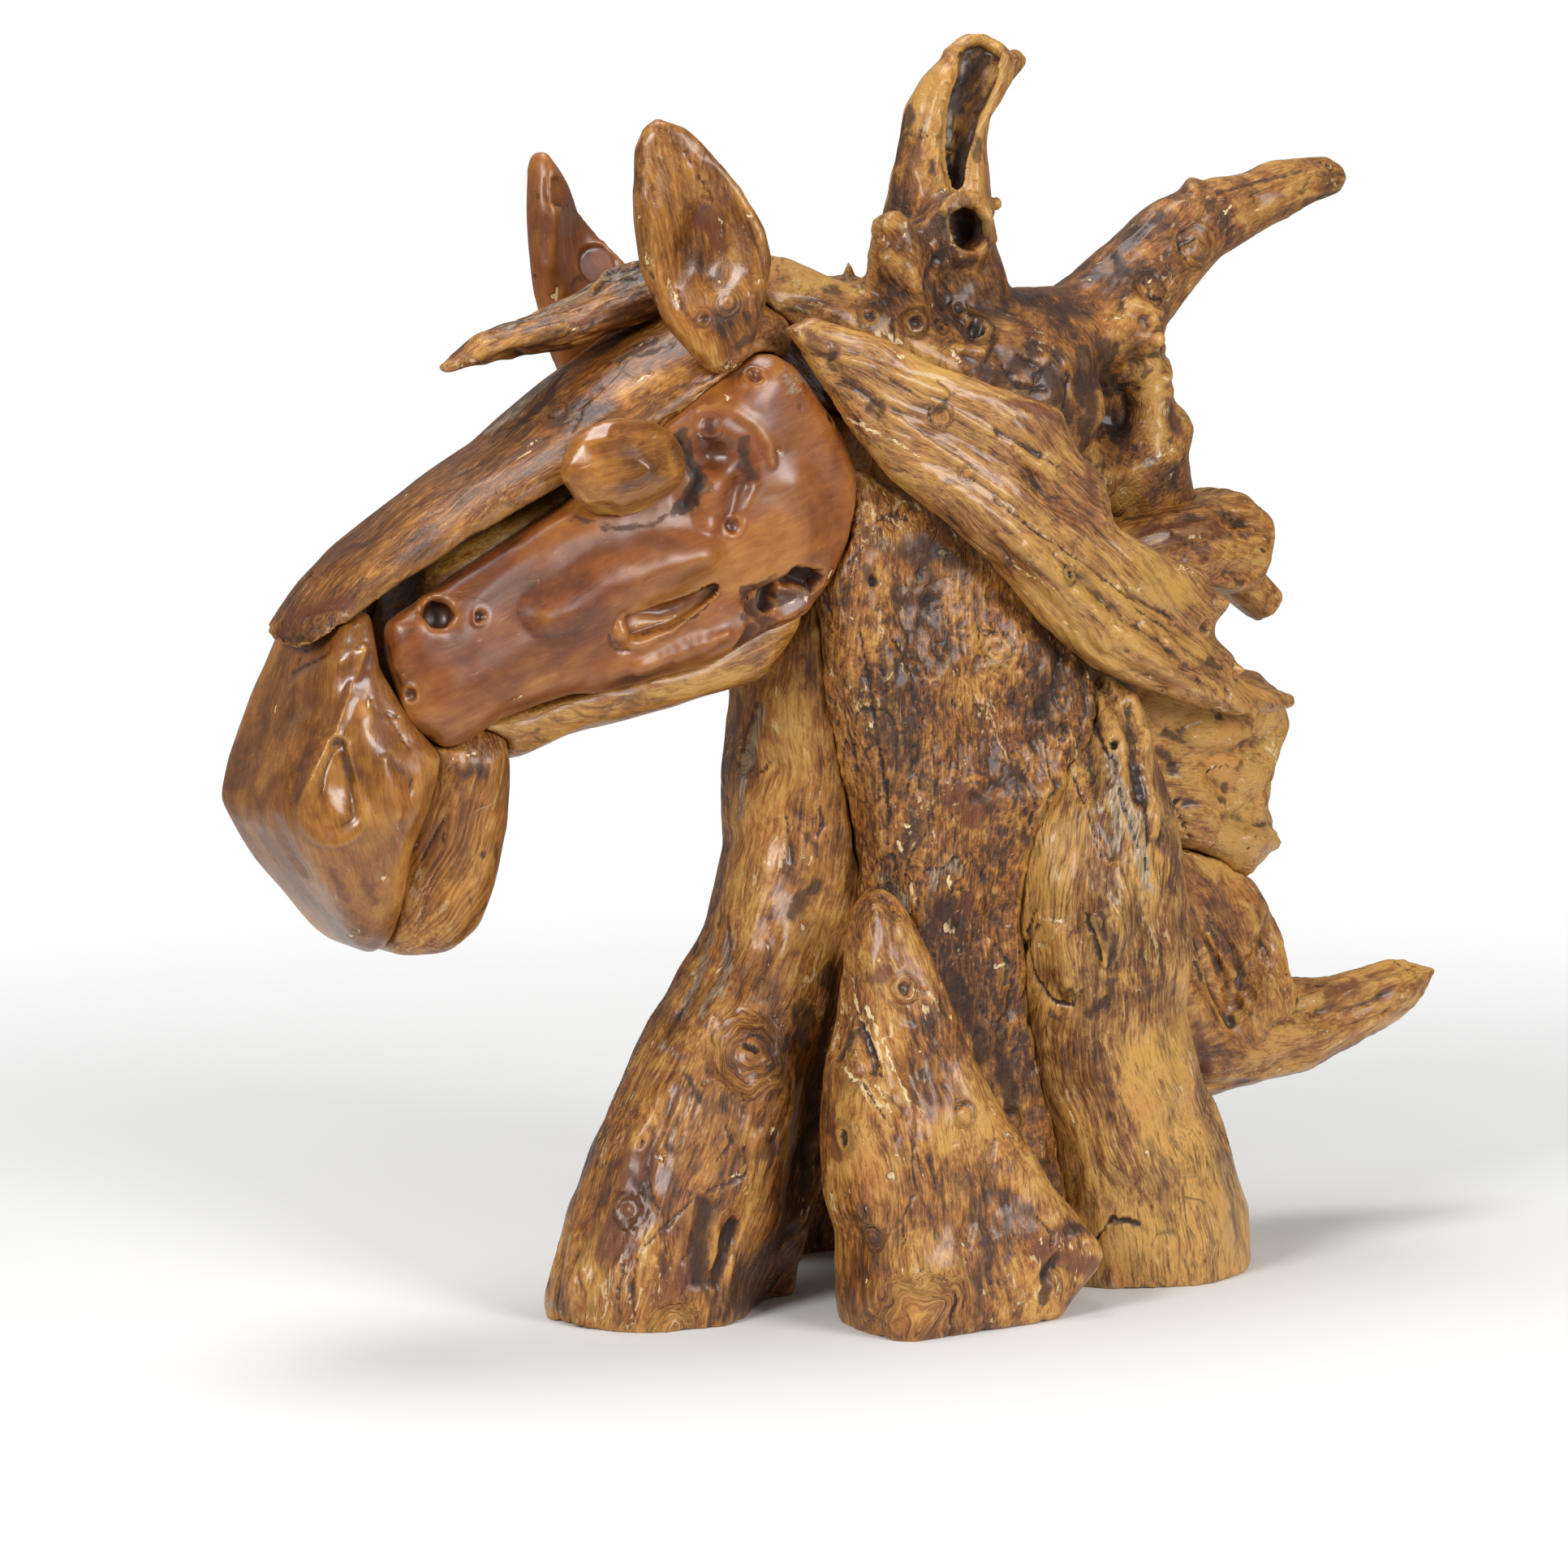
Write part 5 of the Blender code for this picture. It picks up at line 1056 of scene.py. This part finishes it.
crownRoot = {
    "voxel": 2.55, "rounds": 7, "seed": 29,
    "guides": [
        "-84 0 455, -30 0 442, 50 0 410, 86 0 402, 132 0 384",
        "35 0 400, 31 0 450, 30 0 480, 31 0 505, 33 0 525, 37 0 541, 47 0 555, 55 0 567",
        "84 0 416, 116 0 436, 144 0 459, 172 0 478, 202 0 493, 232 0 503, 252 0 506",
        "126 0 390, 142 0 362, 146 0 342",
    ],
    "lumps": [(22, 0.9), (10, 0.4)], "fibres": [(8, 70, 0.5), (4, 45, 0.25)],
    "grooves": [(9, 60, 0.7)],
    "strewn": [
        ("crack", 10, 1.4, 1.8, 6, 0.9), ("pale", 40, 1.0, 2.4, 4, 1.1), ("dark", 54, 2, 9, 2, 0.9),
        ("knot", 8, 3, 7, 0, 1.0), ("socket", 3, 2, 4, 0, 1.0), ("red", 14, 5, 14, 2, 0.8),
        ("light", 10, 8, 20, 2, 0.22), ("shade", 12, 8, 18, 2, 0.25),
    ],
    "forms": rowsIn("""
        fold 4.4 2.5 13 -31 495 6 1 6 15 1 -1 1 -5 -8 3 1 -11, dip 10.2 3 25 -37 442,
        fold 5.1 2.2 23 -33 447 10 -4 -6 -8 -6 -9 -13 0 2, fold 6.8 2.5 118 -26 450 16 -2 -4,
        dip 6.8 2.5 0 -39 464 7 5 10, scoop 14.3 6 31 -13 508 3 5 16 5 4 18 11 0 19,
        dip 18.8 6.5 101 -37 424 14 22 -26 -19 -23 -18, fold 5.8 3 129 -29 443 23 27 -19 -10 -21 -9,
        fold 3.4 6 -20 -4 468, fold 4.1 2.6 62 0 497, fold 4.1 2.6 132 -34 434,
        crest 2.4 2.4 16 -9 529 11 1 -4 5 0 -3 -2 -4 -14, fold 7.8 3 179 10 504 -9 -15 -2,
        fold 10.2 3 -19 -38 474 9 -4 -10
    """),
    # The last three rows, dark, shade and dark from about 101 -36 431 to 120 -20 421, paint shade into the deep
    # hollow at the crown's right foot
    "marks": rowsIn("""
        dark 5.8 1.3 50 -24 460 -2 -6 -11, dark 7.5 1.2 27 -34 473 -7 1 -1, dark 6.1 1.2 123 -9 472 -1 -11 -10,
        dark 4.8 1.2 83 -23 449 -2 -6 -4, dark 5.8 1.1 144 -7 488 6 0 4, dark 6.8 1.2 24 -46 424 27 -1 -11,
        dark 4.4 1.1 16 -15 516 1 -1 -3, dark 4.4 1.1 171 -16 493 4 3 5, dark 2.4 1.2 178 -12 500 23 0 5 26 0 5,
        dark 5.1 1.1 6 -20 490 2 -4 2, pale 6.8 1 -25 -38 440 18 -3 -1, pale 5.1 1.1 6 -43 434 8 -3 -7,
        socket 3.7 1.2 -28 -35 449, socket 4.4 1.2 -7 -42 446, socket 5.8 2.5 27 -37 442, socket 3.1 1 22 -30 451,
        socket 2.4 .8 8 -38 444, dark 8.5 1.8 31 -11 512 2 6 20 8 2 17 10 0 15, dark 6.1 1.8 31 -13 508 4 4 16,
        pale 2 1.1 18 -5 541 -2 -4 -10, pale 2 1 43 -2 556 4 -1 3, crack 1.5 2 17 -10 529 10 2 -4 5 -1 -3 -2 -3 -14,
        light 5.1 .35 20 -14 524 8 3 -11, pale 2 1.2 -21 -35 483 1 0 9, pale 1.7 1.2 -12 -37 492 -1 -3 -7,
        dark 10.2 1.8 11 -33 487 23 16 1 1 -17 -2, dark 10.2 1.6 86 -40 428 -4 -3 -17 7 3 -25,
        dark 10.2 1.6 108 -33 427 13 17 -36, dark 11.9 1.4 64 -46 419 5 1 -20, light 6.8 .35 129 -28 430 4 4 -15,
        chip 1.7 .4 65 -44 426 -2 -1 -2, chip 1.7 .4 103 -28 444 11 -1 1, chip 1.4 .4 105 -8 460 4 -1 2,
        chip 1.4 .4 0 -39 461 3 2 -7, chip 1.4 .4 17 -20 503 3 0 3, crack 1.4 1.2 129 -22 462 1 -5 -9 6 0 0,
        crack 1.4 1.2 155 -21 470 -3 2 7 9 0 3, knot 6.8 1.2 162 -19 476, knot 5.1 1 131 -25 457,
        pale 4.4 .8 178 -18 483 22 2 10, light 8.5 .3 187 -17 490 45 3 13, light 8.5 .25 179 10 504 5 -16 1,
        red 6.8 .7 12 -7 523 -4 -1 -15, red 8.5 .6 79 -5 457 53 14 21, light 6.8 .25 58 -23 452 9 -12 -12,
        dark 5.1 1.4 40 -4 546 0 -6 -14 -1 -9 -13, light 2.7 .35 46 -2 561 -21 -10 -12,
        crack 1.2 1.2 -18 -37 448 0 -2 -10, chip 1.2 .4 197 -3 508 6 0 2,
        dark 7.8 1.1 55 -41 434 -19 -4 -14 -12 -1 2, dark 6.8 1.1 68 -47 412 -2 4 17,
        crack 1.5 1.4 66 -43 429 7 -2 -10 -5 -1 -14, crack 1.4 1.2 46 -43 430 11 -2 -7 -6 -2 -10,
        crack 1.4 1.2 37 -44 425 7 -2 -9 15 -1 -2, red 8.5 1 143 -23 401 7 0 -9,
        pale 6.8 .8 134 -28 378 15 3 4 -5 -1 -15, pale 3.4 1 101 -32 369 21 10 -7,
        light 10.2 .3 134 -24 426 -1 1 -18, dark 10.2 1.3 101 -36 431 15 21 -22 -21 -25 -19,
        shade 15.3 .4 120 -20 421 4 2 -30 -12 -8 -14, dark 10.2 .7 105 -34 422 17 19 -27 -18 -18 -16
    """),
    "wood": {
        "stretch": 0.7, "figure": 0.12, "fine": 0.24, "mottle": 0.8, "flecks": 0.45, "cracks": 0.8, "patch": 0.85,
        "shift": 0.09, "crumbBump": 0.6,
    },
}
carved("crown_root", crownRoot)

maneFan = {
    "voxel": 2.0, "rounds": 5, "seed": 30,
    "guides": ["62 0 318, 205 0 340", "160 -4 338, 213 -8 301"],
    "lumps": [(20, 0.9)], "fibres": [(9, 80, 0.8), (4, 50, 0.35)],
    "grooves": [(10, 90, 1.4), (6, 60, 0.7)],
    "strewn": [
        ("crack", 8, 0.9, 1.8, 8, 1.2), ("pale", 18, 1.0, 2.2, 4, 1.1), ("dark", 14, 1.5, 6, 2, 0.7),
        ("knot", 3, 4, 7, 0, 1.0),
    ],
    "forms": rowsIn("""
        dip 5.6 2 133 -38 349 39 0 2, fold 4.8 2 135 -42 344 49 8 -1
    """),
    "marks": rowsIn("""
        dark 5.6 1 121 -25 350 29 -12 2, red 11.1 1 125 -39 346 35 1 0, chip 1.9 .4 138 -42 331 3 -1 1,
        chip 1.5 .4 171 -40 336 2 0 1, dark 3.7 1.2 175 -35 319 5 1 -1, light 9.3 .22 146 -42 328 26 3 0,
        pale 5.6 .8 208 -18 303, light 5.6 .3 198 -12 304 13 -5 3
    """),
    "wood": {"shift": 0.2, "mottle": 0.5, "flecks": 0.4},
}
carved("mane_fan", maneFan)

maneBurl = {
    "voxel": 2.4, "rounds": 8, "seed": 31,
    "guides": ["60 0 250, 220 0 230"],
    "lumps": [(22, 1.4), (9, 0.6)], "fibres": [(9, 50, 0.5)], "pits": [(12, 1.2, 0.3)],
    "grooves": [(10, 70, 1.2)],
    "strewn": [
        ("crack", 8, 0.9, 1.8, 7, 1.2), ("pale", 24, 1.0, 2.4, 3, 1.1), ("dark", 14, 1.5, 6, 2, 0.6),
        ("shade", 8, 6, 14, 2, 0.25), ("knot", 6, 4, 8, 0, 1.2), ("bore", 2, 1.5, 2.5, 1, 2.5),
    ],
    "forms": rowsIn("""
        dip 11.1 3 154 -49 230 32 11 -17, fold 9.3 3 140 -49 250 38 8 -3, fold 7.4 3 179 -41 197 37 26 -8
    """),
    "marks": rowsIn("""
        dark 6.7 1.1 132 -48 235 -11 -3 9, dark 5.6 1.1 172 -43 232, dark 4.8 1 123 -51 253 11 2 -6,
        pale 11.1 .9 197 -34 246 4 1 -12, light 13 .3 158 -44 241 11 5 -32, light 9.3 .3 183 -34 268 11 0 -4,
        crack 1.5 1.2 131 -50 221 2 0 -8 10 5 -13, bore 2.2 2.5 133 -50 219, shade 11.1 .3 138 -50 216 16 4 -17,
        pale 1.7 1 154 -50 251 8 3 -3, light 11.1 .5 192 -38 255 7 5 -17
    """),
    "wood": {"stretch": 0.75, "figure": 0.15, "shift": 0.35, "mottle": 0.45, "flecks": 0.6},
}
carved("mane_burl", maneBurl)

rearSpur = {
    "voxel": 2.5, "rounds": 8, "seed": 32,
    "guides": ["116 -8 224, 164 -10 182, 200 -6 122", "168 0 96, 232 -4 96, 315 -10 117"],
    "lumps": [(24, 1.2), (10, 0.5)], "fibres": [(9, 80, 0.8), (4, 45, 0.35)],
    "grooves": [(10, 90, 1.3), (6, 60, 0.7)],
    "strewn": [
        ("crack", 12, 0.9, 1.8, 9, 1.2), ("pale", 26, 1.0, 2.4, 4, 1.1), ("dark", 22, 1.5, 7, 3, 0.8),
        ("knot", 4, 4, 8, 0, 1.1), ("red", 6, 6, 14, 2, 0.8),
    ],
    "forms": rowsIn("""
        dip 4.5 2.5 158 -30 148 10 2 -22 14 3 -21, fold 4.5 2.5 166 -28 150 16 3 -21 9 -1 -16
    """),
    "marks": rowsIn("""
        dark 6 1 181 -29 138 9 7 -15, dark 3 1.2 154 -33 139 7 2 -10, chip 1.2 .4 150 -29 173,
        chip 1.2 .4 166 -34 171, grey 4.5 .8 184 -25 105 4 -2 -5, red 9 1 162 -27 100 5 4 -17,
        light 9 .3 186 -23 81 14 -1 5, dark 3.9 1.1 183 -24 107, chip 1.1 .4 190 -26 89 4 0 0
    """),
    "wood": {"shift": 0.22, "mottle": 0.5, "flecks": 0.5},
}
carved("rear_spur", rearSpur)


# Studio: a pale floor, soft boxes and the camera of the picture

studio = {
    "floorReach": 6.0, "floorTone": (0.84, 0.84, 0.83), "floorRoughness": 0.9, "floorFade": (0.25, 1.15),
    "worldTone": (1.0, 1.0, 1.0), "worldLight": 0.22, "backdropTone": (1.0, 1.0, 1.0),
    "camera": (-1.335, -2.134, 0.585), "aim": (-0.0384, 0.0231, 0.231), "lens": 126.1, "sensor": 36.0,
    # (place, aimed at, width, height, watts)
    "boxes": [
        ((-2.1, -0.9, 1.35), (0.0, 0.0, 0.3), 0.7, 0.8, 38.0),
        ((0.8, -2.2, 1.15), (0.0, 0.0, 0.3), 1.0, 1.1, 44.0),
        ((-0.2, 0.3, 2.1), (0.0, 0.0, 0.3), 1.1, 0.8, 22.0),
    ],
}


def aimed(thing, place, aim):
    thing.location = place
    thing.rotation_mode = "QUATERNION"
    thing.rotation_quaternion = (Vector(aim) - Vector(place)).to_track_quat("-Z", "Y")


def studioScene():
    bm = bmesh.new()
    bmesh.ops.create_grid(bm, x_segments=2, y_segments=2, size=studio["floorReach"])
    mesh = bpy.data.meshes.new("floor")
    bm.to_mesh(mesh)
    bm.free()
    floor = added("floor", mesh)
    paper = Finish("floor_paper")
    place = paper.node("ShaderNodeTexCoord", {}, {}, 3)
    reach = paper.node("ShaderNodeVectorMath", {"operation": "LENGTH"}, {0: place}, 1)
    shader = paper.node("ShaderNodeBsdfPrincipled", {}, {
        "Base Color": (*studio["floorTone"], 1.0), "Roughness": studio["floorRoughness"],
    })
    clear = paper.node("ShaderNodeBsdfTransparent", {}, {})
    fade = paper.between(reach, *studio["floorFade"])
    mixed = paper.node("ShaderNodeMixShader", {}, {0: fade, 1: shader, 2: clear})
    mesh.materials.append(paper.surface(mixed))
    world = bpy.data.worlds.new("studio")
    bpy.context.scene.world = world
    world.use_nodes = True
    sky = world.node_tree
    background = sky.nodes["Background"]
    background.inputs["Color"].default_value = (*studio["worldTone"], 1.0)
    background.inputs["Strength"].default_value = studio["worldLight"]
    backdrop = sky.nodes.new("ShaderNodeBackground")    # the paper behind, as the camera sees it
    backdrop.inputs["Color"].default_value = (*studio["backdropTone"], 1.0)
    seen = sky.nodes.new("ShaderNodeLightPath")
    choice = sky.nodes.new("ShaderNodeMixShader")
    sky.links.new(seen.outputs["Is Camera Ray"], choice.inputs[0])
    sky.links.new(background.outputs[0], choice.inputs[1])
    sky.links.new(backdrop.outputs[0], choice.inputs[2])
    sky.links.new(choice.outputs[0], sky.nodes["World Output"].inputs[0])
    for number, (place, aim, width, height, watts) in enumerate(studio["boxes"]):
        light = bpy.data.lights.new(f"softbox{number}", "AREA")
        light.shape = "RECTANGLE"
        light.size = width
        light.size_y = height
        light.energy = watts
        aimed(added(light.name, light), place, aim)
    lens = bpy.data.cameras.new("camera")
    lens.lens = studio["lens"]
    lens.sensor_width = studio["sensor"]
    camera = added("camera", lens)
    aimed(camera, studio["camera"], studio["aim"])
    bpy.context.scene.camera = camera
    bpy.context.scene.view_settings.view_transform = "Standard"
    print("studio ready")


studioScene()
